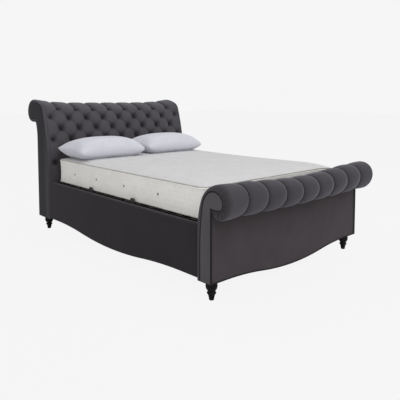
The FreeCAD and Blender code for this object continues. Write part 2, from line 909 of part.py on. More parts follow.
half_panel, half_bow = end_x - gap, end_x - given("front_bow_inset")
panel_outline = bowed(
    -half_panel, half_panel, -half_bow, half_bow, floor_line, given("front_bow"), panel_top
)
panel = padded(
    "footboard_front_panel",
    "XZ_Plane",
    panel_outline,
    "size.front_panel_thick",
    ("0", "place.panel_back", "0"),
)
keep(panel, "footboard_front_panel")
lip_height = foot_line.at(foot_line.ends[-1] - 1e-6)[1] + lip_run() * cos(foot_line.tilt)
foot_rounds = [
    [foot_point(p) for p in foot_line.stretch_points(index, -end_inset)] for index in range(6)
]
panel_over = panel_top + gap
foot_end = [
    [(foot_face, floor_line), (foot_face, foot_plinth)],
    [(foot_face, foot_plinth), foot_rounds[0][0]],
    *foot_rounds,
    [foot_rounds[-1][-1], (front - gap, lip_height + end_inset)],
    [(front - gap, lip_height + end_inset), (front - gap, panel_over)],
    [(front - gap, panel_over), (panel_back, panel_over)],
    [(panel_back, panel_over), (panel_back, floor_line)],
    [(panel_back, floor_line), (foot_face, floor_line)],
]
group("footboard_end_pads", both_sides(across(side_face(foot_end), core_x, end_x)))
foot_facing = padded(
    "footboard_right_facing",
    "YZ_Plane",
    hook_outline(0, front),
    "size.facing_thick",
    ("place.end_x", "0", "0"),
)
keep(foot_facing, "footboard_right_facing")
mirrored(foot_facing, "footboard_left_facing")


# Side rails: a bowed timber board, and the padded cover that caps it
def rail_outline(top):
    low, high = foot_face + gap, head_face - gap
    inset = given("rail_bow_inset")
    bottom, bow = given("rail_bottom"), given("rail_bow")
    return bowed(low, high, low + inset, high - inset, bottom, bow, top)


board_top = given("rail_top") - given("rail_cap_thick")
cover = padded(
    "right_rail_cover",
    "YZ_Plane",
    rail_outline(given("rail_top")),
    "place.rail_face - place.rail_inner",
    ("place.rail_inner", "0", "0"),
)
channel = cover.newObject("PartDesign::Pocket", "right_rail_channel")
channel.Profile = sketch(
    cover,
    "YZ_Plane",
    [
        [(foot_face - gap, board_top), (foot_face - gap, -gap)],
        [(foot_face - gap, -gap), (head_face + gap, -gap)],
        [(head_face + gap, -gap), (head_face + gap, board_top)],
        [(head_face + gap, board_top), (foot_face - gap, board_top)],
    ],
)
channel.setExpression("Length", "size.rail_board_thick")
channel.Reversed = True
doc.recompute()
solid_cover = cover.Shape
outer_top = [
    f"Edge{number}"
    for number, edge in enumerate(solid_cover.Edges, start=1)
    if edge.BoundBox.ZLength < gap
    and abs(edge.BoundBox.ZMax - given("rail_top")) < gap
    and abs(edge.BoundBox.XMin - rail_face) < gap
    and edge.BoundBox.YLength > gap
]
rounding = cover.newObject("PartDesign::Fillet", "right_rail_rounding")
rounding.Base = (channel, outer_top)
rounding.setExpression("Radius", "size.rail_edge_radius")
keep(cover, "right_rail_cover")
mirrored(cover, "left_rail_cover")


# Lift mechanism. Pivots are (y, z) in the side view with the platform down
def swing(point, length, angle):
    return point[0] + length * cos(angle), point[1] + length * sin(angle)


rail_top = given("rail_top")
rear_pivot = (bed_head - given("rear_pivot_from_head"), rail_top - given("rear_pivot_below_rail"))
front_pivot = (
    bed_head - given("front_pivot_from_head"),
    rail_top - given("front_pivot_below_rail"),
)
strut_pivot = (
    bed_head - given("strut_pivot_from_head"),
    rail_top - given("strut_pivot_below_rail"),
)
rear_top = swing(rear_pivot, given("rear_link_length"), given("rear_link_rise"))
front_top = swing(front_pivot, given("front_link_length"), given("front_link_rise"))
strut_top = swing(strut_pivot, given("strut_length"), given("strut_rise"))
pin_radius, clearance = given("pin_radius"), given("pin_clearance")
half_gap = given("washer_gap") / 2
link_thick = given("link_thick")


def hull(circles):
    """A side view face round circles (y, z, radius) given in turning order."""
    edges = []
    count = len(circles)
    tangents = []
    for index, (y0, z0, r0) in enumerate(circles):
        y1, z1, r1 = circles[(index + 1) % count]
        span = math.hypot(y1 - y0, z1 - z0)
        heading = math.atan2(z1 - z0, y1 - y0)
        normal = heading - math.acos((r0 - r1) / span)
        way = (math.cos(normal), math.sin(normal))
        tangents.append(((y0 + r0 * way[0], z0 + r0 * way[1]), (y1 + r1 * way[0], z1 + r1 * way[1]), normal))
    for index, (start, end, normal) in enumerate(tangents):
        edges.append([start, end])
        y, z, radius = circles[(index + 1) % count]
        after = tangents[(index + 1) % count]
        sweep = (after[2] - normal) % (2 * math.pi)
        middle = normal + sweep / 2
        edges.append([end, (y + radius * math.cos(middle), z + radius * math.sin(middle)), after[0]])
    return side_face(edges)


def plate(circles, low_x, high_x, holes):
    """A flat steel plate across low_x to high_x with round holes (y, z, radius)."""
    solid = across(hull(circles), low_x, high_x)
    over = given("overrun")
    for y, z, radius in holes:
        solid = solid.cut(rod(y, z, radius, low_x - over, high_x + over))
    return solid


running = pin_radius + clearance
margin = given("plate_margin")
plate_circles = [(*front_pivot, margin), (*strut_pivot, margin), (*rear_pivot, margin)]
plate_bolts = [
    (Vector(plate_x, y, z), Vector(1, 0, 0))
    for y, z in (
        ((front_pivot[0] + strut_pivot[0]) / 2, (front_pivot[1] + strut_pivot[1]) / 2),
        ((front_pivot[0] + rear_pivot[0]) / 2, (front_pivot[1] + rear_pivot[1]) / 2),
        ((rear_pivot[0] + strut_pivot[0]) / 2, (rear_pivot[1] + strut_pivot[1]) / 2),
    )
]
plate_grip = given("plate_thick") + given("bolt_grip") - bracket_thick
plate_bores = [bolt_bore(point, way, plate_grip) for point, way in plate_bolts]
base_plate = plate(plate_circles, plate_x, rail_inner, []).cut(Part.makeCompound(plate_bores))
group("base_plates", both_sides(base_plate))
plate_bolt_solids = [bolt(point, way, plate_grip) for point, way in plate_bolts]
group("base_plate_bolts", [twin for item in plate_bolt_solids for twin in both_sides(item)])

rail_blank = padded(
    "right_rail_blank",
    "YZ_Plane",
    rail_outline(board_top - gap),
    "size.rail_board_thick - size.seat_gap",
    ("place.rail_inner", "0", "0"),
)
rail_bores = bolt_bores + plate_bores
bores = doc.addObject("Part::Feature", "rail_bores")
bores.Shape = Part.makeCompound(rail_bores)
drilled = doc.addObject("Part::Cut", "right_rail_board_drilled")
drilled.Base = rail_blank
drilled.Tool = bores
keep(drilled, "right_rail_board")
mirrored(drilled, "left_rail_board")

eye = given("link_eye_radius")
open_hole = pin_radius + given("open_pivot_play")
rear_link = plate(
    [(*rear_pivot, eye), (*rear_top, eye)],
    rear_link_x,
    rear_link_x + link_thick,
    [(*rear_pivot, running), (*rear_top, running)],
)
front_link = plate(
    [(*front_pivot, eye), (*front_top, eye)],
    front_link_x,
    front_link_x + link_thick,
    [(*front_pivot, running), (*front_top, open_hole)],
)
group("rear_links", both_sides(rear_link))
group("front_links", both_sides(front_link))
bracket_margin = given("lift_bracket_margin")
lift_bracket = plate(
    [(*front_top, bracket_margin), (*strut_top, bracket_margin), (*rear_top, bracket_margin)],
    bracket_x,
    bracket_x + given("lift_bracket_thick"),
    [],
)
group("lift_brackets", both_sides(lift_bracket))


def pin(pivot, start, head_x, head_radius):
    """A pin welded on at start, with a flat sided head centred on head_x."""
    half = given("pin_head_height") / 2
    base, way = Vector(min(start, head_x), *pivot), Vector(1, 0, 0)
    shaft = prism(pin_radius, abs(head_x - start), base, way, TURNED_SIDES)
    head = prism(head_radius, 2 * half, Vector(head_x - half, *pivot), way)
    return shaft.fuse(head).removeSplitter()


small_head, wide_head = given("pin_small_head_radius"), given("pin_wide_head_radius")
bracket_out = bracket_x + given("lift_bracket_thick")
eye_out, eye_in = strut_x + given("eye_width") / 2, strut_x - given("eye_width") / 2
base_pins = [
    pin(rear_pivot, plate_x, rear_link_x - half_gap, small_head),
    pin(front_pivot, plate_x, front_link_x - half_gap, small_head),
    pin(strut_pivot, plate_x, eye_in - half_gap, small_head),
]
platform_pins = [
    pin(rear_top, bracket_out, rear_link_x + link_thick + half_gap, small_head),
    pin(front_top, bracket_out, front_link_x + link_thick + half_gap, wide_head),
    pin(strut_top, bracket_x, eye_in - half_gap, wide_head),
]
group("base_pivot_pins", [twin for item in base_pins for twin in both_sides(item)])
group("platform_pivot_pins", [twin for item in platform_pins for twin in both_sides(item)])

# Gas struts: a cylinder on the base plate's stud and a rod on the bracket's stud
strut_way = Vector(0, cos(given("strut_rise")), sin(given("strut_rise")))
strut_foot = Vector(strut_x, *strut_pivot)
strut_head = Vector(strut_x, *strut_top)
cylinder_length = given("strut_length") * given("cylinder_share")
eye_radius, eye_width = given("eye_radius"), given("eye_width")
rod_radius = given("rod_radius")
cylinder = Part.makeCylinder(given("cylinder_radius"), cylinder_length, strut_foot, strut_way)
eye_slot = rod(*strut_pivot, 2 * eye_radius, eye_in - eye_width, eye_out + eye_width)
cylinder = cylinder.cut(eye_slot)
cylinder = cylinder.fuse(rod(*strut_pivot, eye_radius, eye_in, eye_out))
neck = prism(rod_radius, 3 * eye_radius, strut_foot, strut_way)
cylinder = cylinder.fuse(neck).cut(rod(*strut_pivot, running, eye_in - gap, eye_out + gap))
bore_start = strut_foot + strut_way * (4 * eye_radius)
bore_radius = rod_radius + given("rod_clearance")
bore = prism(bore_radius, cylinder_length, bore_start, strut_way, TURNED_SIDES)
cylinder = cylinder.cut(bore)
group("strut_cylinders", both_sides(cylinder))
rod_low = strut_foot + strut_way * (5 * eye_radius)
rod_length = (strut_head - rod_low).Length
strut_rod = prism(rod_radius, rod_length, rod_low, strut_way, TURNED_SIDES)
strut_rod = strut_rod.fuse(rod(*strut_top, given("open_eye_radius"), eye_in, eye_out))
strut_rod = strut_rod.cut(rod(*strut_top, open_hole, eye_in - gap, eye_out + gap))
group("strut_rods", both_sides(strut_rod))

# Storage floor: ledgers on the rails, a centre beam on legs, and loose panels
floor_low, floor_high = "place.foot_face + size.seat_gap", "place.head_face - size.seat_gap"
ledger = board(
    "right_floor_ledger",
    ("place.rail_inner - size.ledger_depth", floor_low, "place.ledger_bottom"),
    ("place.rail_inner", floor_high, "place.floor_bottom"),
)
mirrored(ledger, "left_floor_ledger")
board(
    "floor_beam",
    ("-size.beam_width / 2", floor_low, "place.ledger_bottom"),
    ("size.beam_width / 2", floor_high, "place.floor_bottom"),
)
legs = []
for share in (1 / 4, 1 / 2, 3 / 4):
    y = foot_face + (head_face - foot_face) * share
    legs.append(prism(given("beam_leg_radius"), ledger_bottom, Vector(0, y, 0), up, TURNED_SIDES))
group("beam_legs", legs)
panel_run = f"(place.head_face - place.foot_face - 2 * size.floor_gap) / {FLOOR_PANELS}"
for number in range(FLOOR_PANELS):
    start = f"place.foot_face + size.floor_gap + {number} * {panel_run}"
    board(
        f"floor_panel_{number + 1}",
        ("size.floor_gap - place.rail_inner", start, "place.floor_bottom"),
        (
            "place.rail_inner - size.floor_gap",
            f"{start} + {panel_run} - size.floor_joint",
            "size.floor_top",
        ),
    )


# Sprung platform: a welded frame of square tube
def tube(name, low, high, along):
    """A hollow square tube between two corners, open along one axis (0 for x, 1 for y)."""
    outer = box(name + "_outer", low, high)
    wall = "size.tube_wall"
    inner_low = [f"{rule} + {wall}" if axis != along else rule for axis, rule in enumerate(low)]
    inner_high = [f"{rule} - {wall}" if axis != along else rule for axis, rule in enumerate(high)]
    inner = box(name + "_inner", inner_low, inner_high)
    hollow = doc.addObject("Part::Cut", name)
    hollow.Base = outer
    hollow.Tool = inner
    return keep(hollow, name)


tube_foot, tube_head = "place.bed_foot + size.tube_end_gap", "place.bed_head - size.tube_end_gap"
side_tube = tube(
    "right_side_tube",
    ("place.tube_x", tube_foot, "place.tube_bottom"),
    ("place.bracket_x", tube_head, "place.tube_top"),
    1,
)
mirrored(side_tube, "left_side_tube")
tube(
    "foot_tube",
    ("-place.tube_x", tube_foot, "place.tube_bottom"),
    ("place.tube_x", f"{tube_foot} + size.tube", "place.tube_top"),
    0,
)
tube(
    "head_tube",
    ("-place.tube_x", f"{tube_head} - size.tube", "place.tube_bottom"),
    ("place.tube_x", tube_head, "place.tube_top"),
    0,
)
cross_tubes = []
cross = given("cross_tube")
wall = given("tube_wall")
for share in (1 / 4, 1 / 2, 3 / 4):
    y = bed_foot + given("mattress_length") * share
    outer = Part.makeBox(2 * tube_x, cross, cross, Vector(-tube_x, y - cross / 2, tube_bottom))
    inner = Part.makeBox(
        2 * tube_x,
        cross - 2 * wall,
        cross - 2 * wall,
        Vector(-tube_x, y - cross / 2 + wall, tube_bottom + wall),
    )
    cross_tubes.append(outer.cut(inner))
group("cross_tubes", cross_tubes)
board(
    "slat_rail",
    ("-size.slat_rail / 2", f"{tube_foot} + size.tube", "place.tube_bottom + size.cross_tube"),
    ("size.slat_rail / 2", f"{tube_head} - size.tube", "place.tube_top"),
)

# Sprung slats in two rows, each slat arched up a little, and their end holders
slat_wall, slat_thick = given("holder_wall"), given("slat_thick")
slat_low = tube_top + slat_wall + gap
slat_outer = bracket_x - slat_wall - gap
slat_inner = slat_wall
slat_middle = (slat_outer + slat_inner) / 2


def slat_outline():
    rise = given("slat_arch")
    under = [(slat_inner, slat_low), (slat_middle, slat_low + rise), (slat_outer, slat_low)]
    over = [(x, z + slat_thick) for x, z in under[::-1]]
    return [under, [under[-1], over[0]], over, [over[-1], under[0]]]


def slat_face(y):
    edges = []
    for points in slat_outline():
        ends = [Vector(x, y, z) for x, z in points]
        edge = Part.Arc(*ends).toShape() if len(ends) == 3 else Part.makeLine(*ends)
        edges.append(edge)
    return Part.Face(Part.Wire(edges))


slat_run = given("mattress_length") - 2 * given("slat_margin") - given("slat_width")
slats, holders = [], []
lap, holder_length = given("holder_lap"), given("holder_length")
pocket_gap = 2 * gap
for number in range(SLATS):
    y = bed_foot + given("slat_margin") + slat_run * number / (SLATS - 1)
    slats += both_sides(slat_face(y).extrude(Vector(0, given("slat_width"), 0)))
    low_y = y - slat_wall - pocket_gap
    width = given("slat_width") + 2 * (slat_wall + pocket_gap)
    height = slat_thick + 2 * slat_wall + given("slat_play")
    pocket = Vector(0, slat_wall, slat_wall)
    cell = Vector(0, width - 2 * slat_wall, height - 2 * slat_wall)
    side = Part.makeBox(holder_length, width, height, Vector(bracket_x - holder_length, low_y, tube_top))
    side_pocket = Part.makeBox(
        holder_length - slat_wall,
        cell.y,
        cell.z,
        Vector(bracket_x - holder_length, low_y, tube_top) + pocket,
    )
    holders += both_sides(side.cut(side_pocket))
    centre = Part.makeBox(2 * lap, width, height, Vector(-lap, low_y, tube_top))
    half_pocket = Part.makeBox(
        lap, cell.y, cell.z, Vector(slat_inner - gap, low_y, tube_top) + pocket
    )
    for item in both_sides(half_pocket):
        centre = centre.cut(item)
    holders.append(centre)
group("sprung_slats", slats)
group("slat_holders", holders)

# A ledge at the foot end with rubber stops, where the lowered platform comes to rest
ledge_top = put("ledge_top", "=tube_bottom - size.stop_height - size.seat_gap")
board(
    "platform_ledge",
    ("size.seat_gap - place.rail_inner", "place.foot_face", "place.ledge_top - size.ledge_height"),
    (
        "place.rail_inner - size.seat_gap",
        "place.foot_face + size.ledge_depth",
        "place.ledge_top",
    ),
)
stop_radius = given("stop_radius")
stop_y = foot_face + given("ledge_depth") - stop_radius
group(
    "rubber_stops",
    [
        prism(stop_radius, given("stop_height"), Vector(x, stop_y, ledge_top), up, TURNED_SIDES)
        for x in (-3 / 4 * tube_x, 0, 3 / 4 * tube_x)
    ],
)

# Mattress retainers outside the side tubes, and the pull strap's loop on the foot tube
retainers = []
half, retainer_thick = given("retainer_width") / 2, given("retainer_thick")
for run in (given("retainer_front"), given("retainer_rear")):
    y, low, high = front + run, tube_bottom + retainer_thick, bed_bottom + given("retainer_rise")
    taper = half / 4
    spots = [
        (y - half, low),
        (y + half, low),
        (y + half, high - taper),
        (y + half - taper, high),
        (y - half + taper, high),
        (y - half, high - taper),
    ]
    outline = side_face([list(pair) for pair in zip(spots, spots[1:] + spots[:1])])
    retainers += both_sides(across(outline, bracket_x, bracket_x + retainer_thick))
group("mattress_retainers", retainers)
strap_half, strap_thick = given("strap_length") / 2, given("strap_thick")
strap_stand, strap_tab = given("strap_stand"), given("strap_tab")
bends = [
    (strap_half, 0),
    (strap_half - strap_tab, 0),
    (strap_half - strap_tab - strap_stand, strap_stand),
]
bends += [(-x, out) for x, out in bends[::-1]]
edge_out = [(x, -out - strap_thick) for x, out in bends]
edge_in = [(x, -out) for x, out in bends[::-1]]
loop = edge_out + edge_in
strap = padded(
    "pull_strap",
    "XY_Plane",
    [list(pair) for pair in zip(loop, loop[1:] + loop[:1])],
    "size.strap_width",
    (
        "0",
        "place.bed_foot + size.tube_end_gap",
        "(place.tube_top + place.tube_bottom - size.strap_width) / 2",
    ),
)
keep(strap, "pull_strap")


# Mattress: rings with rounded corners from the bottom edge, in at the waist, to the crown
def ring(z, inset):
    """The mattress's plan at a height, drawn in by inset, as a loop of points."""
    half = given("mattress_width") / 2 - inset
    low, high = bed_foot + inset, bed_head - inset
    radius = given("mattress_corner")
    corners = [(half, high, 0), (-half, high, 90), (-half, low, 180), (half, low, 270)]
    loop = []
    for x, y, start in corners:
        centre_x = x - math.copysign(radius, x)
        centre_y = y - radius if start < 180 else y + radius
        for step in range(CORNER_STEPS + 1):
            angle = start + 90 * step / CORNER_STEPS
            loop.append(Vector(centre_x + radius * cos(angle), centre_y + radius * sin(angle), z))
    return loop


side, crown = given("mattress_side"), given("mattress_crown")
edge, draw = given("mattress_edge"), given("mattress_waist")
rings = [
    ring(bed_bottom, edge),
    ring(bed_bottom + edge, 0),
    ring(bed_bottom + side / 2, draw),
    ring(bed_bottom + side - edge, 0),
    ring(bed_bottom + side, edge),
]
for share, rise_share in MATTRESS_CROWN_SHARES:
    inset = edge + (given("mattress_width") / 2 - given("mattress_corner") - edge) * share
    rings.append(ring(bed_bottom + side + crown * rise_share, inset))
feature("mattress", folded(rings))


# Pillows: lens shaped sections between two seams, with their ends drawn in
def pillow_arc(x, start, middle, end):
    """Points of an arc across a pillow at x, from three (y, z) points."""
    arc = Part.Arc(*[Vector(x, *point) for point in (start, middle, end)]).toShape()
    return arc.discretize(PILLOW_STEPS + 1)


def pillow_section(x, share, y):
    """A pillow's section where it swells to a share of its full height."""
    seam = given("pillow_seam")
    drawn = seam * PILLOW_DRAW_SHARE * share
    low_y, high_y = y + drawn, y + given("pillow_depth") - drawn
    base = bed_top - given("pillow_sink")
    front_seam, rear_seam = base + given("pillow_front_seam"), base + given("pillow_rear_seam")
    middle = (front_seam + rear_seam) / 2
    top = middle + (base + given("pillow_height") - middle) * share
    under = middle + (base - middle) * share
    mid_y = (low_y + high_y) / 2
    over = pillow_arc(x, (low_y, front_seam + seam), (mid_y, top), (high_y, rear_seam + seam))
    return over + pillow_arc(x, (high_y, rear_seam), (mid_y, under), (low_y, front_seam))


pillow_y = bed_head - given("pillow_head_gap") - given("pillow_depth")
half_apart, shift = given("pillow_apart") / 2, given("pillow_shift")
for label, low_x, y in (
    ("left_pillow", -half_apart - shift - pillow_length, pillow_y - given("pillow_stagger")),
    ("right_pillow", half_apart - shift, pillow_y),
):
    sections = [
        pillow_section(low_x + pillow_length * along, share, y)
        for along, share in PILLOW_SHARES
    ]
    feature(label, folded(sections))

doc.recompute()
for item in doc.Objects:
    if "Invalid" in item.State or "Error" in item.State:
        raise RuntimeError(f"{item.Name} did not build: {item.State}")
for item in parts:
    if item.Shape.isNull() or not item.Shape.isValid():
        raise RuntimeError(f"{item.Label} has no sound shape")
os.makedirs("parts", exist_ok=True)
for item in parts:
    item.Shape.exportStep(f"parts/{item.Label}.step")
print(f"{len(parts)} pieces written")
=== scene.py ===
"""Looks of the ottoman bed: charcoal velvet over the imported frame, with mattress and pillows."""

import math

import bmesh
import bpy
import numpy as np
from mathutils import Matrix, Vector


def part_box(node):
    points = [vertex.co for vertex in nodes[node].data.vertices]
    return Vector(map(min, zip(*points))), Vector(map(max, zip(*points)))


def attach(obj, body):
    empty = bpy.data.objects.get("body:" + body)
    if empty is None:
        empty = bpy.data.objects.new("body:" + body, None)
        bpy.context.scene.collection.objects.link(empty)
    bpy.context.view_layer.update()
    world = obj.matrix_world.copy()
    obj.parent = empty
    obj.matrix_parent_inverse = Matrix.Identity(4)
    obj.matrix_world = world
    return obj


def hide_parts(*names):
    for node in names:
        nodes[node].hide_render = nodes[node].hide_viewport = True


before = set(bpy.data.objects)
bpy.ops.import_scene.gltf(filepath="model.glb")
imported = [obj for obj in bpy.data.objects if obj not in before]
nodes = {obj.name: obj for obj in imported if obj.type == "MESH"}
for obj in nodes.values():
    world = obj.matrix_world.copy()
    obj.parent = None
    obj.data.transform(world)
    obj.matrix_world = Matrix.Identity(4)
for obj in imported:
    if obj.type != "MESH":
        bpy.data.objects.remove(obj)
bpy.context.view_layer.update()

# Studio. The bed stands on a plain pale floor in front of a plain pale backdrop, under
# broad soft lamps. The camera looks down the bed from beside its left foot corner.


class Wire:
    """A socket of a node tree. Python's operators on it add Math nodes."""

    def __init__(self, wiring, socket):
        self.wiring, self.socket = wiring, socket

    def maths(self, operation, other=0.5, swapped=False):
        values = (other, self) if swapped else (self, other)
        return self.wiring.node("Math", {"operation": operation}, dict(enumerate(values)))

    def __add__(self, other):
        return self.maths("ADD", other)

    def __radd__(self, other):
        return self.maths("ADD", other, True)

    def __sub__(self, other):
        return self.maths("SUBTRACT", other)

    def __rsub__(self, other):
        return self.maths("SUBTRACT", other, True)

    def __mul__(self, other):
        return self.maths("MULTIPLY", other)

    def __rmul__(self, other):
        return self.maths("MULTIPLY", other, True)

    def between(self, low, high):
        """0 below low, 1 above high, and straight between them."""
        return self.wiring.node("MapRange", {"clamp": True}, {0: self, 1: low, 2: high})


class Wiring:
    """A node tree in the making. Each of its nodes comes from the method node."""

    def __init__(self, tree):
        self.tree = tree

    def feed(self, socket, value):
        if isinstance(value, Wire):
            self.tree.links.new(value.socket, socket)
        elif hasattr(value, "__len__") and len(value) == 3 and socket.type == "RGBA":
            socket.default_value = (*value, 1)
        else:
            socket.default_value = value

    def node(self, kind, settings, inputs, output=0):
        node = self.tree.nodes.new("ShaderNode" + kind)
        for name, value in settings.items():
            setattr(node, name, value)
        for key, value in inputs.items():
            self.feed(node.inputs[key], value)
        return Wire(self, node.outputs[output])


class Finish(Wiring):
    """A procedural material in the making, round its one Principled shader."""

    def __init__(self, name, roughness=0.5, **plain):
        self.material = bpy.data.materials.new(name)
        self.material.use_nodes = True
        super().__init__(self.material.node_tree)
        self.shader = self.tree.nodes["Principled BSDF"]
        self.set(Roughness=roughness, **plain)

    def set(self, **inputs):
        for name, value in inputs.items():
            self.feed(self.shader.inputs[name.replace("_", " ")], value)

    def place(self):
        """Where a point of the surface is, in metres."""
        return self.node("TexCoord", {}, {}, "Object")

    def axis(self, letter):
        return self.node("SeparateXYZ", {}, {0: self.place()}, letter)

    def noise(self, scale, detail, stretch=None):
        """Cloudy noise with so many patches to the metre, stretched where asked."""
        where = self.place()
        if stretch:
            where = self.node("VectorMath", {"operation": "MULTIPLY"}, {0: where, 1: stretch})
        return self.node("TexNoise", {}, {"Vector": where, "Scale": scale, "Detail": detail})

    def mix(self, share, first, second):
        return self.node("Mix", {"data_type": "RGBA"}, {0: share, 6: first, 7: second}, 2)

    def done(self, colour, roughness, height, distance, strength):
        """Sets what changes over the surface, and hands the material over."""
        relief = {"Height": height, "Distance": distance, "Strength": strength}
        self.set(Base_Color=colour, Roughness=roughness, Normal=self.node("Bump", {}, relief))
        return self.material


scene = bpy.context.scene
scene.view_settings.view_transform = "Standard"
camera = bpy.data.objects.new("photo_camera", bpy.data.cameras.new("photo_camera"))
scene.collection.objects.link(camera)
scene.camera = camera
camera.location = (-2.7646, -3.2524, 1.2351)
camera.rotation_euler = (math.radians(85.90), 0, math.radians(-42.47))
camera.data.lens = 42.99
camera.data.shift_y = -0.1632
camera.data.clip_end = 200

for name, place, size, power in (
    ("key_lamp", (-2.2, -4.3, 4.4), 3.6, 150),
    ("fill_lamp", (4.4, -2.6, 3.0), 3.2, 45),
    ("top_lamp", (0.2, 0.8, 5.2), 4.0, 60),
):
    lamp = bpy.data.lights.new(name, "AREA")
    lamp.size = size
    lamp.energy = power
    holder = bpy.data.objects.new(name, lamp)
    holder.location = place
    aim = Vector((0, 0, 0.5)) - holder.location
    holder.rotation_euler = aim.to_track_quat("-Z", "Y").to_euler()
    scene.collection.objects.link(holder)

PAPER, GLOW, PAPER_SHINE, REACH = (0.920, 0.920, 0.920), 0.46, 0.97, 40
world = bpy.data.worlds.new("studio_air")
scene.world = world
world.use_nodes = True
air = Wiring(world.node_tree)
glow = air.node("Background", {}, {"Color": (1, 1, 1), "Strength": GLOW})
paper = air.node("Background", {}, {"Color": PAPER, "Strength": 1.0})
seen = air.node("LightPath", {}, {}, "Is Camera Ray")
shown = seen.maths("MAXIMUM", air.node("LightPath", {}, {}, "Is Glossy Ray"))
backdrop = air.node("MixShader", {}, {0: shown, 1: glow, 2: paper})
air.feed(air.tree.nodes["World Output"].inputs["Surface"], backdrop)

floor_mesh = bpy.data.meshes.new("studio_floor")
corners = [(-REACH, -REACH, 0), (REACH, -REACH, 0), (REACH, REACH, 0), (-REACH, REACH, 0)]
floor_mesh.from_pydata(corners, [], [range(4)])
floor = bpy.data.objects.new("studio_floor", floor_mesh)
scene.collection.objects.link(floor)
floor_paper = Finish("floor_paper", 0.9, Base_Color=PAPER)
shine = floor_paper.node("Emission", {}, {"Color": PAPER})
share = floor_paper.node("LightPath", {}, {}, "Is Camera Ray") * PAPER_SHINE
matt = Wire(floor_paper, floor_paper.shader.outputs[0])
surface = floor_paper.node("MixShader", {}, {0: share, 1: matt, 2: shine})
floor_paper.feed(floor_paper.tree.nodes["Material Output"].inputs["Surface"], surface)
floor_mesh.materials.append(floor_paper.material)

# Timber cores. The headboard, the foot end and the side rails are built on cores of sawn
# softwood and board. The covers hide them, apart from their undersides and inner faces, and
# the headboard's core is painted near black where its roll ends, as painted shade in the gap there.
PAINTED_SHADE_TONE = (0.028, 0.0265, 0.029)


def sawn_wood(name, pale, dark, along, painted_shade=None):
    """Wood with grain that runs along one axis, painted near black as shade where the given function
    gives 1.
    """
    finish = Finish(name, 0.62)
    stretch = [26.0, 26.0, 26.0]
    stretch[along] = 1.6
    rings = finish.noise(1.0, 4.0, stretch)
    fibres = finish.noise(1.0, 2.0, [value * 14 for value in stretch])
    tone = (rings * 0.75 + fibres * 0.25).between(0.32, 0.68)
    colour, roughness = finish.mix(tone, pale, dark), tone * 0.16 + 0.52
    if painted_shade:
        share = painted_shade(finish)
        colour, roughness = finish.mix(share, colour, PAINTED_SHADE_TONE), share * 0.3 + roughness
    return finish.done(colour, roughness, fibres, 0.0006, 0.5)


def under_roll(finish):
    """1 high up at the headboard's rear, where the core gets painted shade, 0 elsewhere."""
    height, rear = 0.900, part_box("headboard_pad")[0].y + 0.150
    high, far = finish.axis("Z"), finish.axis("Y")
    return high.between(height, height + 0.001) * far.between(rear, rear + 0.001)


def dress(material, *names):
    """Gives CAD nodes a finish."""
    for name in names:
        mesh = nodes[name].data
        mesh.materials.clear()
        mesh.materials.append(material)


PINE, PINE_GRAIN = (0.55, 0.40, 0.24), (0.38, 0.25, 0.13)
# Painted shade: the headboard's core is near black high up at its rear, in the gap under the roll's end.
painted_shade_pine = sawn_wood("painted_shade_softwood", PINE, PINE_GRAIN, 0, under_roll)
dress(painted_shade_pine, "headboard_frame")
cross_pine = sawn_wood("sawn_softwood_across", PINE, PINE_GRAIN, 0)
dress(cross_pine, "footboard_frame", "platform_ledge")
long_pine = sawn_wood("sawn_softwood_along", PINE, PINE_GRAIN, 1)
dress(long_pine, "left_rail_board", "right_rail_board", "floor_beam")
dress(long_pine, "left_floor_ledger", "right_floor_ledger")


# Storage floor. Four loose hardboard panels lie on the ledgers and on a centre beam that
# stands on three turned blocks. The panels are sawn, brown, and faintly speckled.
def hardboard():
    finish = Finish("brown_hardboard", 0.6)
    speckle = finish.noise(420.0, 3.0)
    cloud = finish.noise(6.0, 2.0)
    tone = (speckle * 0.7 + cloud * 0.3).between(0.3, 0.7)
    colour = finish.mix(tone, (0.115, 0.068, 0.036), (0.185, 0.118, 0.068))
    return finish.done(colour, speckle * 0.2 + 0.48, speckle, 0.0004, 0.4)


dress(hardboard(), *[f"floor_panel_{number}" for number in range(1, 5)])


def tinted(colour, factor, added=0.0):
    return tuple(value * factor + added for value in colour)


def lacquer(name, colour, roughness, shine):
    """Paint brushed or sprayed over a smooth ground, a little uneven in its gloss."""
    finish = Finish(name, roughness, Specular_IOR_Level=shine)
    flow = finish.noise(70.0, 3.0)
    handled = finish.noise(9.0, 3.0).between(0.35, 0.75)
    colour = finish.mix(handled, colour, tinted(colour, 1.7, 0.004))
    return finish.done(colour, handled * 0.12 + (roughness - 0.04), flow, 0.0002, 0.35)


black_lacquer = lacquer("black_satin_lacquer", (0.0060, 0.0060, 0.0065), 0.45, 0.09)
dress(black_lacquer, "beam_legs")


# Corner brackets. Pressed steel angles join the rails to both ends, with zinc plated
# hexagon bolts. The bolt heads are bright and lightly brushed, the angles powder coated.
def powder_coat(name, colour):
    finish = Finish(name, 0.5, Specular_IOR_Level=0.45)
    orange_peel = finish.noise(900.0, 2.0)
    dust = finish.noise(14.0, 4.0).between(0.4, 0.8)
    colour = finish.mix(dust, colour, tinted(colour, 1.5, 0.006))
    return finish.done(colour, orange_peel * 0.14 + 0.40, orange_peel, 0.00025, 0.6)


def bare_metal(name, colour, roughness, brush):
    finish = Finish(name, roughness, Metallic=1.0)
    scratches = finish.noise(1.0, 3.0, brush)
    patches = finish.noise(30.0, 3.0).between(0.35, 0.7)
    colour = finish.mix(patches, colour, tinted(colour, 0.82))
    return finish.done(colour, scratches * 0.18 + (roughness - 0.08), scratches, 0.00008, 0.5)


black_steel = powder_coat("black_powder_coat", (0.016, 0.016, 0.017))
zinc = bare_metal("bright_zinc", (0.62, 0.63, 0.64), 0.36, (500.0, 500.0, 60.0))
dress(black_steel, "corner_brackets", "base_plates")
dress(zinc, "corner_bolts", "base_plate_bolts", "base_pivot_pins", "platform_pivot_pins")
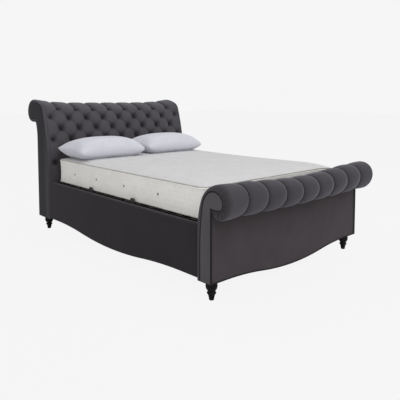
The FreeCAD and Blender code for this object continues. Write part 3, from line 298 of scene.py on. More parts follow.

# Side rails. Each rail board is wrapped in wadding and charcoal velvet, rounded along the
# top, and bowed along the bottom. Their velvet is painted darkest, as painted shade on sides that face
# away from the lamps.
HALF_WIDTH = 0.829
FACING, END_PAD = 0.012, 0.012
END_X = HALF_WIDTH - FACING
CORE_X = END_X - END_PAD
SEAT, FLOOR_LINE = 0.0003, 0.125
SHARP = math.radians(55)


def velvet(name, colour, sheen, shade=None, kept=1.0):
    """Short pile velvet: brushed patches, a fine nap and a soft sheen. Where the function
    shade gives 1, the colour is painted darker, as painted shade, down to the share kept of it."""
    finish = Finish(name, 0.88, Sheen_Weight=sheen, Sheen_Roughness=0.38)
    finish.set(Sheen_Tint=(0.60, 0.60, 0.68), Specular_IOR_Level=0.18)
    brushed = finish.noise(4.0, 4.0).between(0.3, 0.7)
    streaks = finish.noise(1.0, 3.0, (26.0, 26.0, 7.0)).between(0.25, 0.75)
    nap = finish.noise(900.0, 2.0)
    tone = brushed * 0.5 + streaks * 0.25 + nap * 0.25
    pile = finish.mix(tone, tinted(colour, 0.80), tinted(colour, 1.18))
    if shade:
        pile = finish.mix(shade(finish), pile, tinted(colour, kept))
    return finish.done(pile, nap * 0.14 + 0.80, nap + brushed * 0.4, 0.0007, 0.4)


def smooth_step(value, low, high):
    share = np.clip((value - low) / (high - low), 0, 1)
    return share * share * (3 - 2 * share)


def loft(name, *grids):
    """A smooth mesh through rows of loops, or through several such grids, with capped ends."""
    faces, base = [], 0
    for grid in grids:
        rows, columns = grid.shape[:2]
        for low in range(base, base + (rows - 1) * columns, columns):
            for step in range(columns):
                a, b = low + step, low + (step + 1) % columns
                faces.append((a, a + columns, b + columns, b))
        faces.append(tuple(range(base, base + columns)))
        base += rows * columns
        faces.append(tuple(range(base - 1, base - columns - 1, -1)))
    return solid_mesh(name, np.concatenate([grid.reshape(-1, 3) for grid in grids]), faces)


def solid_mesh(name, points, faces):
    """A new piece from points and faces, smooth, with every face turned outwards."""
    mesh = bpy.data.meshes.new(name)
    mesh.from_pydata(np.asarray(points).tolist(), [], faces)
    work = bmesh.new()
    work.from_mesh(mesh)
    bmesh.ops.recalc_face_normals(work, faces=work.faces)
    work.to_mesh(mesh)
    work.free()
    mesh.shade_smooth()
    mesh.set_sharp_from_angle(angle=SHARP)
    piece = bpy.data.objects.new(name, mesh)
    scene.collection.objects.link(piece)
    return piece


def fit_out(piece, material, slot, body, *replaced, fill=None):
    """Gives a new piece its finish and the body that it rides on. The fill of a pad is not used."""
    piece.data.materials.append(material)
    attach(piece, body)
    if replaced:
        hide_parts(*replaced)


def upholster(piece, material, *replaced, fill=None):
    fit_out(piece, material, "charcoal_velvet", "bed_base", *replaced, fill=fill)


def bow_line(along, half_bow, depth, bottom):
    """The lower edge of a panel, which hangs down in a bow about its middle."""
    share = np.clip(1 - np.abs(along) / half_bow, 0, 1)
    hang = np.where(share < 0.5, 2 * share**2, 1 - 2 * (1 - share) ** 2)
    return bottom - depth * hang


def quarter(centre, radius, start, end, steps):
    """Points (a, b) round a part of a circle, in degrees."""
    angles = np.radians(np.linspace(start, end, steps))
    return [(centre[0] + radius * math.cos(t), centre[1] + radius * math.sin(t)) for t in angles]


RAIL_INNER, RAIL_SPLIT, RAIL_FACE, RAIL_TOP = 0.7835, 0.8055, 0.826, 0.476
RAIL_BOTTOM, RAIL_BOW, RAIL_FLAT_END = 0.137, 0.050, 0.150
RAIL_ROUND, RAIL_CAP = 0.016, 0.007
RAIL_HEM, RAIL_LIP, RAIL_PUFF, RAIL_SWELL = 0.006, 0.003, 0.0015, 0.0012
SIDES = ((-1, "left"), (1, "right"))
# Painted shade: the rails' velvet is darker than the rest, for sides that face away from the lamps.
rail_shaded_velvet = velvet("rail_shaded_velvet", (0.0205, 0.0165, 0.0195), 0.20)


def rail_cover(side, hand):
    """Wadding and velvet over a rail board: its face, rounded top and turned under edge."""
    low, high = (corner.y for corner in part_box("right_rail_cover"))
    middle, half = (low + high) / 2, (high - low) / 2
    top, split, cap = RAIL_TOP, RAIL_SPLIT + SEAT, RAIL_TOP - RAIL_CAP
    loops = []
    for y in np.linspace(low, high, 121):
        bottom = float(bow_line(y - middle, half - RAIL_FLAT_END, RAIL_BOW, RAIL_BOTTOM))
        puff = RAIL_PUFF * math.sin(math.pi * (y - low) / (high - low)) ** 0.4
        face = RAIL_FACE - RAIL_PUFF + puff
        loop = [(split, bottom + 0.002), (RAIL_SPLIT + RAIL_HEM, bottom)]
        loop += quarter((face - RAIL_HEM, bottom + RAIL_HEM), RAIL_HEM, -90, 0, 4)
        for rise in (0.03, 0.12, 0.5, 0.88):
            z = bottom + (top - bottom) * rise
            loop.append((face + RAIL_SWELL * math.sin(math.pi * rise), z))
        loop += quarter((face - RAIL_ROUND, top - RAIL_ROUND), RAIL_ROUND, 0, 90, 9)
        loop += quarter((RAIL_INNER + RAIL_LIP, top - RAIL_LIP), RAIL_LIP, 90, 180, 4)
        loops.append([(side * x, y, z) for x, z in [*loop, (RAIL_INNER, cap), (split, cap)]])
    piece = loft(hand + "_rail_wrap", np.array(loops))
    upholster(piece, rail_shaded_velvet, hand + "_rail_cover", fill=0.9)


for side, hand in SIDES:
    rail_cover(side, hand)

# Headboard pad. Deep foam is drawn down by rows of covered buttons, the velvet folds into
# pleats from button to button, and from the top row the pleats run straight over the roll.
HEAD_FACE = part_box("headboard_pad")[0].y
HEAD_DEPTH, HEAD_PAD, HEAD_BACK = 0.251, 0.061, 0.012
HEAD_PLINTH, HEAD_DISH, HEAD_SAG_POWER = 0.450, 0.038, 4
TUFT_HEIGHT, TUFT_SWELL, TUFT_PITCH = 0.022, 0.028, 0.0949375
ROW_PITCH, TOP_ROW = 0.1095, 0.754
TUFT_ROWS, TUFT_COLUMNS = 7, 8
FOLD_LEAN, SWELL_POWER, FLUTE_POWER, ROLL_BLEND, BESIDE_SHARE = 1.30, 0.44, 2.6, 0.45, 0.9
PLEAT_RISE, PLEAT_START, PLEAT_FULL, DIMPLE = 0.50, 0.010, 0.055, 0.033
PAD_EDGE, PAD_EDGE_SHARE, TUCK, TUCK_SHARE = 0.034, 0.30, 0.045, 0.85


class Scroll:
    """The side line of a scroll end. It climbs from u = 0 and rolls over towards larger u,
    in stretches of (radius, turn in degrees), or (0, length) for a straight one."""

    def __init__(self, z, stretches):
        self.stretches, self.ends = [], [0.0]
        u = self.tilt = 0.0
        for radius, turn in stretches:
            length = radius * math.radians(turn) if radius else turn
            self.stretches.append((u, z, self.tilt, radius))
            u, z, self.tilt = self.followed(self.stretches[-1], length)
            self.ends.append(self.ends[-1] + length)

    def followed(self, stretch, run):
        """Where runs along one stretch lead, and the tilt there."""
        u, z, tilt, radius = stretch
        if not radius:
            return u + run * math.sin(tilt), z + run * math.cos(tilt), tilt
        turned = tilt + run / radius
        u = u + radius * (math.cos(tilt) - np.cos(turned))
        return u, z + radius * (np.sin(turned) - math.sin(tilt)), turned

    def at(self, run, out=0.0):
        """Points (u, z) after runs along the line, stood off outwards."""
        u = z = np.zeros_like(np.asarray(run, float))
        for stretch, start in zip(self.stretches, self.ends):
            part_u, part_z, tilt = self.followed(stretch, run - start)
            here = run - start >= -1e-9
            u = np.where(here, part_u - out * np.cos(tilt), u)
            z = np.where(here, part_z + out * np.sin(tilt), z)
        return u, z

    def height(self, run, out=0.0):
        return float(self.at(run, out)[1])


head_line = Scroll(
    HEAD_PLINTH,
    [(2.300, 17.7), (0.095, 46.3), (0.400, 26), (0.122, 90), (0.098, 115), (0, 0.022)],
)
head_end = head_line.ends[-1]
head_crest = head_line.height(head_line.ends[2])
lowest_row_z = head_line.height(TOP_ROW - ROW_PITCH * (TUFT_ROWS - 1))


def stored_painted_shade(finish):
    """The share of painted shade kept with a piece's points, such as how deep they lie."""
    return finish.node("Attribute", {"attribute_name": "painted_shade_share"}, {}, "Fac")


# Keeps a share of painted shade with each of a piece's points.
def store_painted_shade(piece, share):
    kept = piece.data.attributes.new("painted_shade_share", "FLOAT", "POINT")
    kept.data.foreach_set("value", share.ravel())
    return piece


# Painted shade on the headboard's velvet: darker in the tufting's hollows, and darker towards the bottom,
# where the pillows and the mattress shade it.
head_velvet = velvet(
    "headboard_velvet", (0.0740, 0.0685, 0.0775), 0.35,
    lambda finish: stored_painted_shade(finish) + (1 - finish.axis("Z").between(0.60, 0.90)) * 0.42, 0.2,
)


def sagged(z, sag, low, high, power=1):
    """Heights lowered by the sag, fully at the crest of a scroll and less below."""
    return z - sag * np.clip((z - low) / (high - low), 0, 1) ** power


def head_sagged(z, x):
    sag = HEAD_DISH * (1 - np.abs(x / END_X) ** 5)
    return sagged(z, sag, lowest_row_z, head_crest, HEAD_SAG_POWER)


def tufting(x, run):
    """Height of the buttoned padding, from 0 at the buttons to 1 on top of the diamonds."""
    column = x / TUFT_PITCH - 1
    row = (TOP_ROW - run) / ROW_PITCH
    held = np.clip(row, 0, TUFT_ROWS - 1)
    a, b = (column + held) / 2, (column - held) / 2
    in_a, in_b = a - np.floor(a), b - np.floor(b)
    lean_a, lean_b = in_a**FOLD_LEAN, 1 - (1 - in_b) ** FOLD_LEAN
    swell = (np.sin(math.pi * lean_a) * np.sin(math.pi * lean_b)) ** SWELL_POWER
    over = smooth_step(-row, 0.0, ROLL_BLEND)
    flute = 1 - (1 - np.abs(np.sin(math.pi * column / 2))) ** FLUTE_POWER
    swell = swell * (1 - over) + flute * over
    beside = smooth_step(np.abs(x) / TUFT_PITCH, TUFT_COLUMNS - 0.8, TUFT_COLUMNS + 0.25)
    swell = swell * (1 - beside) + BESIDE_SHARE * beside
    near_a, near_b = a - np.round(a), b - np.round(b)
    sideways, downwards = (near_a + near_b) * TUFT_PITCH, (near_a - near_b) * ROW_PITCH
    past = (np.clip(-row, 0, None) + np.clip(row - TUFT_ROWS + 1, 0, None)) * ROW_PITCH
    from_button = np.sqrt(sideways**2 + downwards**2 + past**2)
    pleat = PLEAT_RISE * smooth_step(from_button, PLEAT_START, PLEAT_FULL) * (1 - over)
    height = pleat + (1 - pleat) * swell
    return height * (1 - np.exp(-((from_button / DIMPLE) ** 2)))


def tufted_pad():
    bend = PAD_EDGE * (1 - np.cos(np.linspace(0, math.pi / 2, 9))[:-1])
    outer_x = CORE_X - SEAT
    inside = np.linspace(-outer_x + PAD_EDGE, outer_x - PAD_EDGE, 330)
    across = np.concatenate([bend - outer_x, inside, outer_x - bend[::-1]])
    runs = np.concatenate([np.linspace(0.0, 0.80, 190), np.linspace(0.805, head_end, 70)])
    x, run = np.meshgrid(across, runs, indexing="ij")
    to_end = np.clip((outer_x - np.abs(x)) / PAD_EDGE, 0, 1)
    rounding = PAD_EDGE_SHARE * PAD_EDGE * (1 - np.sqrt(1 - (1 - to_end) ** 2))
    tuck = smooth_step(run, head_end - TUCK, head_end)
    height = tufting(x, run) * (1 - tuck) + TUCK_SHARE * tuck
    u, z = head_line.at(run, TUFT_SWELL * height - TUFT_HEIGHT - rounding)
    outer = np.stack([x, HEAD_FACE + u, head_sagged(z, x)], -1)
    x, run = np.meshgrid(across, np.linspace(head_end, 0.0, 60), indexing="ij")
    u, z = head_line.at(run, SEAT - HEAD_PAD)
    inner = np.stack([x, HEAD_FACE + u, z], -1)
    piece = loft("tufted_headboard_pad", np.concatenate([outer, inner], axis=1))
    # Painted shade in the hollows: 1 at the buttons, 0 on top of the diamonds.
    return store_painted_shade(piece, np.concatenate([(1 - height) ** 2, 0 * x], axis=1))


upholster(tufted_pad(), head_velvet, "headboard_pad", fill=0.8)

# Headboard buttons. Fifty-nine domed velvet buttons are tied through the foam. Each sits at
# the bottom of its own dimple, a little gathered under its rim, and is painted darker than the pad, as
# painted shade in the dimple.
BUTTON_RADIUS, BUTTON_GATHER = 0.0115, 0.02
# Painted shade: the buttons' velvet is darker than the pad's.
button_velvet = velvet("button_velvet", (0.015, 0.0135, 0.0160), 0.15)


def turned(profile, sides, spot, spin=np.eye(3), gather=0.0, phase=0.0):
    """A grid of points: a profile of (radius, rise) turned about an axis, gathered if asked."""
    angle = 2 * math.pi * np.arange(sides) / sides
    reach = 1 + gather * np.cos(5 * angle + phase)
    across, along = reach * np.cos(angle), reach * np.sin(angle)
    rings = [np.stack([radius * across, radius * along, 0 * angle + rise], 1) for radius, rise in profile]
    return np.array(rings) @ np.array(spin).T + np.array(spot)


def button_place(x, run):
    """A point at the bottom of the tufting, and the way out of the padding there."""
    spots = []
    for out in (-TUFT_HEIGHT, 0.0):
        u, z = head_line.at(run, out)
        spots.append(Vector((x, HEAD_FACE + u, head_sagged(z, x))))
    return spots[0], (spots[1] - spots[0]).normalized()


def buttons():
    shares = [(0.35, 0.0002), (0.86, 0.0006), (1.0, 0.0022), (0.95, 0.0040), (0.72, 0.0058)]
    shares += [(0.38, 0.0068), (0.12, 0.0070)]
    profile = [(BUTTON_RADIUS * share, rise) for share, rise in shares]
    grids = []
    for row in range(TUFT_ROWS):
        for column in range(-TUFT_COLUMNS, TUFT_COLUMNS + 1):
            if (column + row) % 2:
                spot, way = button_place(column * TUFT_PITCH, TOP_ROW - ROW_PITCH * row)
                spin = way.to_track_quat("Z", "Y").to_matrix()
                grids.append(turned(profile, 20, spot, spin, BUTTON_GATHER, column))
    return loft("covered_headboard_buttons", *grids)


fit_out(buttons(), button_velvet, "button_velvet", "bed_base", "headboard_buttons")


# Headboard ends. A padded panel closes each end of the scroll, with a flat shaped facing of
# board and velvet over it. The back is a plain cloth panel that flares out under the roll.
OUTLINE_STEP, HEAD_HOOK, SHARP_EDGE, CROWN_FLAT, CROWN_TURN = 0.0004, 0.024, 0.0005, 0.010, 0.002
BAND_STEEP, BAND_ROUND, BAND_GATHER, GATHER_STEP, BAND_HOLLOW = 0.011, 0.026, 0.0022, 0.75, 0.12
PAD_DEPTHS, FACING_DEPTHS = (CORE_X + SEAT, END_X - SEAT), (END_X, HALF_WIDTH)
FLARE_START, FLARE_RADIUS, FLARE_TOP = 0.875, 0.395, head_line.height(head_end) + 0.003


def clean_outline(points):
    """An outline as an array, anticlockwise, without points that sit on each other."""
    kept = []
    for point in points:
        if not kept or math.dist(point, kept[-1]) > OUTLINE_STEP:
            kept.append(point)
    while math.dist(kept[0], kept[-1]) < OUTLINE_STEP:
        kept.pop()
    loop = np.array(kept, float)
    following = np.roll(loop, -1, axis=0)
    area = np.sum(loop[:, 0] * following[:, 1] - following[:, 0] * loop[:, 1])
    return loop if area > 0 else loop[::-1]


def drawn_in(loop, inset):
    """An outline moved inwards, square to its sides."""
    ahead = np.roll(loop, -1, axis=0) - loop
    ahead /= np.linalg.norm(ahead, axis=1)[:, None]
    inward = np.stack([-ahead[:, 1], ahead[:, 0]], axis=1)
    behind = np.roll(inward, 1, axis=0)
    join = 1 + np.sum(inward * behind, axis=1)
    return loop + (inward + behind) / np.maximum(join, 0.35)[:, None] * inset


def slab(name, outline, depths, edges, crown=0.0, upright=False):
    """A padded board with rounded edges between two depths along X, crowned on its faces. An
    upright one has its depths along Y."""
    loop = clean_outline(outline)
    rings = []
    for edge, face, way in zip(edges, depths, (1, -1)):
        side = [(edge + CROWN_FLAT, face - way * crown), (edge + CROWN_TURN, face - way * crown / 2)]
        for angle in np.linspace(0, math.pi / 2, 6):
            side.append((edge * (1 - math.sin(angle)), face + way * edge * (1 - math.cos(angle))))
        rings += side if way > 0 else side[::-1]
    grid = []
    for inset, depth in rings:
        flat = drawn_in(loop, inset)
        grid.append(np.insert(flat, 1 if upright else 0, depth, axis=1))
    return loft(name, np.array(grid))


def both_sides(name, outline, depths, edges, crown=0.0):
    """The right hand slab and its mirror image on the left, each with its hand."""
    mirrored = [-depth for depth in depths[::-1]]
    yield slab("right_" + name, outline, depths, edges, crown), "right"
    yield slab("left_" + name, outline, mirrored, edges[::-1], crown), "left"


def head_flare(inset):
    """The back of the headboard from under the roll down to where it is upright."""
    radius = FLARE_RADIUS + inset
    centre = (HEAD_FACE + HEAD_DEPTH - inset + radius, FLARE_START)
    top = 180 - math.degrees(math.asin((FLARE_TOP - FLARE_START) / radius))
    return quarter(centre, radius, top, 180, 14)


def head_outline(front_inset, stand, back_inset):
    """The headboard from the side: front, roll, flared back, and the bottom."""
    u, z = head_line.at(np.linspace(0, head_end, 120), -stand)
    rear, front = head_flare(back_inset), HEAD_FACE + front_inset
    outline = [(front, FLOOR_LINE), (front, HEAD_PLINTH), *zip(HEAD_FACE + u, z), *rear]
    return outline + [(rear[-1][0], FLOOR_LINE)]


# Painted shade on the headboard's ends: darker than the front, as sides that face away from the lamps,
# and darker still towards the rear; the part near the front edge is painted lighter, as light round the
# corner.
end_shaded_velvet = velvet(
    "headboard_end_shaded_velvet", (0.0600, 0.0560, 0.0620), 0.2,
    lambda finish: finish.axis("Y").between(HEAD_FACE + 0.015, HEAD_FACE + 0.120), 0.29,
)
wrap_outline = head_outline(HEAD_HOOK - 0.004, HEAD_HOOK - 0.002, HEAD_BACK + SEAT)
for piece, _ in both_sides("headboard_end_wrap", wrap_outline, PAD_DEPTHS, (SHARP_EDGE, 0.004)):
    upholster(piece, end_shaded_velvet, "headboard_end_pads", fill=1.0)


def end_band(name, side, stations, crest):
    """The padding round a facing: steep beside the facing, then round into the scroll. The
    stations are (inner point, outer point, how far the velvet is gathered there)."""
    loops, shaded = [], []
    for number, (inner, outer, gather) in enumerate(stations):
        width = math.dist(inner, outer)
        steep, round_off = min(BAND_STEEP, 0.4 * width), min(BAND_ROUND, 0.58 * width)
        gathers = gather * BAND_GATHER * math.sin(number * GATHER_STEP)
        profile = []
        for angle in np.linspace(0, math.pi / 2, 7):
            lift = math.sin(angle) ** 0.9
            profile.append((steep * (1 - math.cos(angle)), END_X - 0.003, lift))
        for share in (1 / 3, 2 / 3):
            span = width - steep - round_off
            profile.append((steep + span * share, END_X, 1 - BAND_HOLLOW * min(1, span / 0.05)))
        for angle in np.linspace(0, math.pi / 2, 9):
            along = width - round_off * (1 - math.sin(angle) ** 0.9)
            profile.append((along, CORE_X + SEAT, math.cos(angle) ** 0.8))
        loop = []
        for along, low, lift in profile:
            share = along / width
            x = low + (crest - low) * lift + gathers * math.sin(math.pi * share)
            loop.append((side * x, *(np.array(inner) * (1 - share) + np.array(outer) * share)))
        loops.append([*loop, (side * (CORE_X + SEAT), *inner)])
        # Painted shade where the velvet is gathered, darkest beside the facing.
        shaded.append([0.75 * gather * (1 - along / width) ** 0.5 for along, *_ in profile] + [0])
    return store_painted_shade(loft(name, np.array(loops)), np.array(shaded, float))


def head_band_stations():
    """Pairs of points on the facing's edge and on the scroll's, up the front and over."""
    inset, runs = HEAD_HOOK - 0.0006, np.linspace(0, head_end, 130)
    front = np.linspace(FLOOR_LINE, HEAD_PLINTH, 30)[:-1]
    stations = [((HEAD_FACE + inset, z), (HEAD_FACE + 0.0005, z), 0.0) for z in front]
    edges = [np.transpose(head_line.at(runs, -depth)) + (HEAD_FACE, 0) for depth in (inset, 0.0012)]
    return stations + [(*pair, 0.0) for pair in zip(*edges)]


for side, hand in SIDES:
    band = end_band(hand + "_headboard_band", side, head_band_stations(), HALF_WIDTH - 0.001)
    upholster(band, head_velvet, "headboard_end_pads", fill=1.0)
facing_outline = head_outline(HEAD_HOOK, HEAD_HOOK, 0.009)
edges = (SHARP_EDGE, 0.006)
for piece, hand in both_sides("headboard_facing", facing_outline, FACING_DEPTHS, edges, 0.0012):
    upholster(piece, end_shaded_velvet, f"headboard_{hand}_facing")


def back_cloth():
    finish = Finish("black_back_cloth", 0.92, Sheen_Weight=0.15)
    weave = finish.noise(1400.0, 2.0)
    slack = finish.noise(2.2, 3.0).between(0.3, 0.7)
    colour = finish.mix(slack * 0.5 + weave * 0.5, (0.020, 0.019, 0.021), (0.036, 0.034, 0.037))
    return finish.done(colour, weave * 0.1 + 0.86, weave + slack * 2, 0.0006, 0.5)


outer_back, inner_back = head_flare(0), head_flare(HEAD_BACK - SEAT)
back_outline = outer_back + [(outer_back[-1][0], FLOOR_LINE), (inner_back[-1][0], FLOOR_LINE)]
back_outline += inner_back[::-1]
back_depths = (-END_X + SEAT, END_X - SEAT)
back = slab("headboard_back_panel", back_outline, back_depths, (0.003, 0.003))
fit_out(back, back_cloth(), "back_cloth", "bed_base", "headboard_back")

# Foot end pad. Nine flutes of padded velvet are sewn in channels that run over the scroll,
# down its front and under its lip, where they are tacked to the back of the front panel.
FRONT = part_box("footboard_front_panel")[0].y
FOOT_DEPTH, FOOT_PLINTH, FOOT_DISH = 0.128, 0.450, 0.033
FOOT_FACE = FRONT + FOOT_DEPTH
LAST_GROOVE, FLUTE_DEPTH, FLUTE_TUCK = 0.648, 0.020, 0.030
FLUTE_PITCH = 2 * LAST_GROOVE / 7
FACING_REAR, CORE_INSET, PANEL_THICK, PAD_FOOT_RUN = 0.096, 0.008, 0.022, 0.131
foot_line = Scroll(
    FOOT_PLINTH,
    [(0, 0.004), (0.502, 20.9), (0.170, 69.1), (0.095, 90), (0.130, 60), (0.060, 60)],
)
HOOK_START = 0.320
hook_line = Scroll(HOOK_START, [(1.760, 8.9), (0.160, 26.1), (0.090, 55), (0.072, 90), (0.036, 90)])
hook_end, lip_end = hook_line.ends[-1], foot_line.ends[-1]
foot_crest = foot_line.height(foot_line.ends[3])
lip_run = (foot_line.at(lip_end)[0] - FOOT_DEPTH - SEAT) / -math.sin(foot_line.tilt)
foot_end_run = lip_end + lip_run - 1e-6
# Painted shade: the roll's velvet is darker in the flutes' grooves, by the stored share.
roll_velvet = velvet("roll_velvet", (0.0505, 0.0460, 0.0525), 0.40, stored_painted_shade, 0.25)


def fluting(x):
    """Height of the flutes over their sewn grooves, from 0 to 1."""
    inner = x / FLUTE_PITCH + 0.5
    inner = inner - np.floor(inner)
    end = (np.abs(x) - LAST_GROOVE) / (CORE_X - LAST_GROOVE) * 0.52
    share = np.where(np.abs(x) < LAST_GROOVE, inner, np.clip(end, 0, 1))
    return np.sqrt(np.clip(1 - np.abs(2 * share - 1) ** 2.3, 0, 1))


def fluted_pad():
    outer_x = CORE_X - SEAT
    grooves = [(number - 4.5) * FLUTE_PITCH for number in range(1, 9)]
    marks = [-outer_x, *grooves, outer_x]
    even = np.linspace(0, 1, 25)
    steps = (0.3 * (1 - np.cos(math.pi * even)) + 0.4 * even)[:-1]
    across = [low + (high - low) * steps for low, high in zip(marks, marks[1:])]
    across = np.concatenate([*across, [outer_x]])
    x, run = np.meshgrid(across, np.linspace(0, foot_end_run, 150), indexing="ij")
    ramp = np.clip(run / foot_line.ends[2], 0, 1)
    tuck = smooth_step(run, lip_end - FLUTE_TUCK, foot_end_run)
    deep = FLUTE_DEPTH * (1 - fluting(x)) * ramp * (1 - tuck)
    u, z = foot_line.at(run, -deep)
    sag = FOOT_DISH * np.cos(math.pi * x / (2 * END_X)) ** 2
    outer = np.stack([x, FOOT_FACE - u, sagged(z, sag, FOOT_PLINTH, foot_crest)], -1)
    x, run = np.meshgrid(across, np.linspace(hook_end, PAD_FOOT_RUN, 60), indexing="ij")
    u, z = hook_line.at(run, SEAT - CORE_INSET)
    inner = np.stack([x, FRONT + FACING_REAR - u, z], -1)
    piece = loft("fluted_foot_pad", np.concatenate([outer, inner], axis=1))
    # Painted shade in the grooves: the deeper, the darker.
    return store_painted_shade(piece, np.concatenate([(deep / FLUTE_DEPTH) ** 2, 0 * x], axis=1))


upholster(fluted_pad(), roll_velvet, "footboard_pad", fill=0.9)

# Foot end sides. A hook shaped facing of board and velvet closes each end of the scroll. The
# roll's own padding swells up round it as a proud band, gathered where the hook curls in.
STATION_STEP = 0.35


def hook_outline(inset, face):
    """The facing's outline: up the rear, round the scroll, and down the front."""
    u, z = hook_line.at(np.linspace(0, hook_end, 110), -inset)
    y = FRONT + FACING_REAR - u
    return [(y[0], FLOOR_LINE), *zip(y, z), (face, z[-1]), (face, FLOOR_LINE)]


def band_stations():
    """Pairs of points on the hook's edge and on the roll's, and how gathered it is there."""
    u, z = hook_line.at(np.linspace(0, hook_end, 400), 0.0006)
    y = FRONT + FACING_REAR - u
    hook_y = np.concatenate([np.full(120, y[0]), y, np.linspace(y[-1] + 0.001, FRONT - 0.001, 30)])
    up_rear = np.linspace(FLOOR_LINE, HOOK_START - 0.001, 120)
    hook_z = np.concatenate([up_rear, z, np.full(30, z[-1])])
    u, z = foot_line.at(np.linspace(0, foot_end_run, 150), -0.0012)
    roll_y = FOOT_FACE - 0.0005 - np.concatenate([np.zeros(50), u[1:]])
    roll_z = np.concatenate([np.linspace(FLOOR_LINE, FOOT_PLINTH, 50), z[1:]])
    order = np.arange(len(hook_y))
    stations, last = [], -STATION_STEP
    for y, z in zip(roll_y, roll_z):
        nearest = np.argmin((hook_y - y) ** 2 + (hook_z - z) ** 2)
        last = min(max(nearest, last + STATION_STEP), order[-1])
        inner = (np.interp(last, order, hook_y), np.interp(last, order, hook_z))
        stations.append((inner, (y, z), smooth_step(last, len(order) - 160, len(order) - 60)))
    return stations


filling_outline = hook_outline(CORE_INSET + 0.001, FRONT + PANEL_THICK + 0.001)
fillings = [*both_sides("foot_end_filling", filling_outline, PAD_DEPTHS, (SHARP_EDGE, 0.002))]
for side, hand in SIDES[::-1]:
    band = end_band(hand + "_foot_end_band", side, band_stations(), HALF_WIDTH + 0.0015)
    upholster(band, roll_velvet, "footboard_end_pads", fill=1.0)
for piece, _ in fillings:
    upholster(piece, roll_velvet, "footboard_end_pads", fill=1.0)
facing_velvet = velvet("facing_velvet", (0.0740, 0.0680, 0.0740), 0.4)
facing_outline = hook_outline(0, FRONT + 0.0005)
edges = (SHARP_EDGE, 0.0075)
for piece, hand in both_sides("foot_facing", facing_outline, FACING_DEPTHS, edges, 0.0015):
    upholster(piece, facing_velvet, f"footboard_{hand}_facing")


# Front panel. Board and velvet, bowed along the bottom like the rails, set a little behind
# the facings' edges. Near black welts run along its lower edge and round the facings, as painted shade on
# the shadow lines there.
def welt(name, points, radius):
    """A thin cord in velvet, tacked along an edge."""
    line = bpy.data.curves.new(name, "CURVE")
    line.dimensions = "3D"
    spline = line.splines.new("POLY")
    spline.points.add(len(points) - 1)
    for point, place in zip(spline.points, points):
        point.co = (*place, 1)
    line.bevel_depth = radius
    line.bevel_resolution = 3
    line.use_fill_caps = True
    piece = bpy.data.objects.new(name, line)
    scene.collection.objects.link(piece)
    return piece


FRONT_BOW_HALF, FRONT_BOW = 0.6875, 0.050
panel_velvet = velvet("front_panel_velvet", (0.0530, 0.0445, 0.0490), 0.3)
panel_top = hook_line.height(hook_end, -CORE_INSET) - SEAT
across = np.linspace(-END_X + SEAT, END_X - SEAT, 120)
lower = bow_line(across, FRONT_BOW_HALF, FRONT_BOW, FLOOR_LINE)
panel_outline = [*zip(across, lower), (END_X - SEAT, panel_top), (-END_X + SEAT, panel_top)]
panel_depths = (FRONT + 0.005, FRONT + PANEL_THICK)
front = slab("front_panel_wrap", panel_outline, panel_depths, (0.006, 0.002), upright=True)
upholster(front, panel_velvet, "footboard_front_panel")
# Painted shade: near black welts that stand for the shadow lines under the panel and round the facings.
welt_shaded_velvet = velvet("welt_shaded_velvet", (0.0120, 0.0110, 0.0120), 0.10)
hem = [(x, FRONT + 0.0045, z + 0.0015) for x, z in zip(across, lower)]
upholster(welt("front_panel_welt", hem, 0.0042), welt_shaded_velvet)
for part, radius, line in (
    ("facing", 0.0030, [(0.0060, FRONT + y, FLOOR_LINE) for y in (0.004, 0.060, 0.120)]),
    ("corner", 0.0065, [(0.0070, FRONT + 0.001, z) for z in (FLOOR_LINE, 0.3, panel_top)]),
    ("hook", 0.0038, [(0.0090, y, z) for y, z in hook_outline(-0.001, FRONT)[:-2]]),
):
    for side, hand in SIDES:
        seam = [(side * (END_X + out), y, z) for out, y, z in line]
        upholster(welt(f"{hand}_{part}_welt", seam, radius), welt_shaded_velvet)

# Feet. Four turned feet of beech under black satin lacquer, screwed up into the corners:
# a bun, a neck, a ring, and a taper down to a flat toe.
foot_profile = [(0.001, 0.0), (0.0145, 0.0), (0.0155, 0.001), (0.0178, 0.014), (0.0212, 0.0320)]
foot_profile += [(0.0203, 0.0338), (0.0240, 0.0352), (0.0240, 0.0376), (0.0278, 0.0402)]
foot_profile += [(0.0295, 0.0450), (0.0280, 0.0496), (0.0238, 0.0522), (0.0226, 0.0540)]
foot_profile += [(0.0230, 0.0578), (0.0262, 0.0592), (0.0262, 0.0618), (0.0292, 0.0650)]
foot_profile += [(0.0338, 0.0720), (0.0369, 0.0808), (0.0380, 0.0905), (0.0371, 0.1010)]
foot_profile += [(0.0345, 0.1110), (0.0318, 0.1190), (0.0308, 0.1236), (0.0300, 0.1248)]
foot_profile += [(0.001, 0.1248)]
for node in ("front_left_foot", "front_right_foot", "back_left_foot", "back_right_foot"):
    low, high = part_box(node)
    spot = ((low.x + high.x) / 2, (low.y + high.y) / 2, 0)
    foot = loft("turned_" + node, turned(foot_profile, 40, spot))
    fit_out(foot, black_lacquer, "black_lacquer", "bed_base", node)

# Lift mechanism. Flat steel links and gas struts carry the platform on both sides. Links are
# powder coated, each strut is a painted cylinder with a polished rod.
chrome = bare_metal("polished_rod", (0.80, 0.81, 0.82), 0.16, (60.0, 900.0, 900.0))
strut_paint = lacquer("strut_paint", (0.013, 0.013, 0.014), 0.30, 0.5)
dress(black_steel, "rear_links", "front_links", "lift_brackets")
dress(strut_paint, "strut_cylinders")
dress(chrome, "strut_rods")


# Sprung platform. A welded frame of black square tube holds two rows of arched beech slats
# in plastic holders, with rubber stops below and a webbing strap to pull at the foot.
def moulded(name, colour, grain, roughness):
    finish = Finish(name, roughness, Specular_IOR_Level=0.4)
    pits = finish.noise(grain, 2.0)
    worn = finish.noise(12.0, 3.0).between(0.4, 0.8)
    colour = finish.mix(worn, colour, tinted(colour, 1.5, 0.01))
    return finish.done(colour, pits * 0.12 + (roughness - 0.05), pits, 0.0002, 0.5)


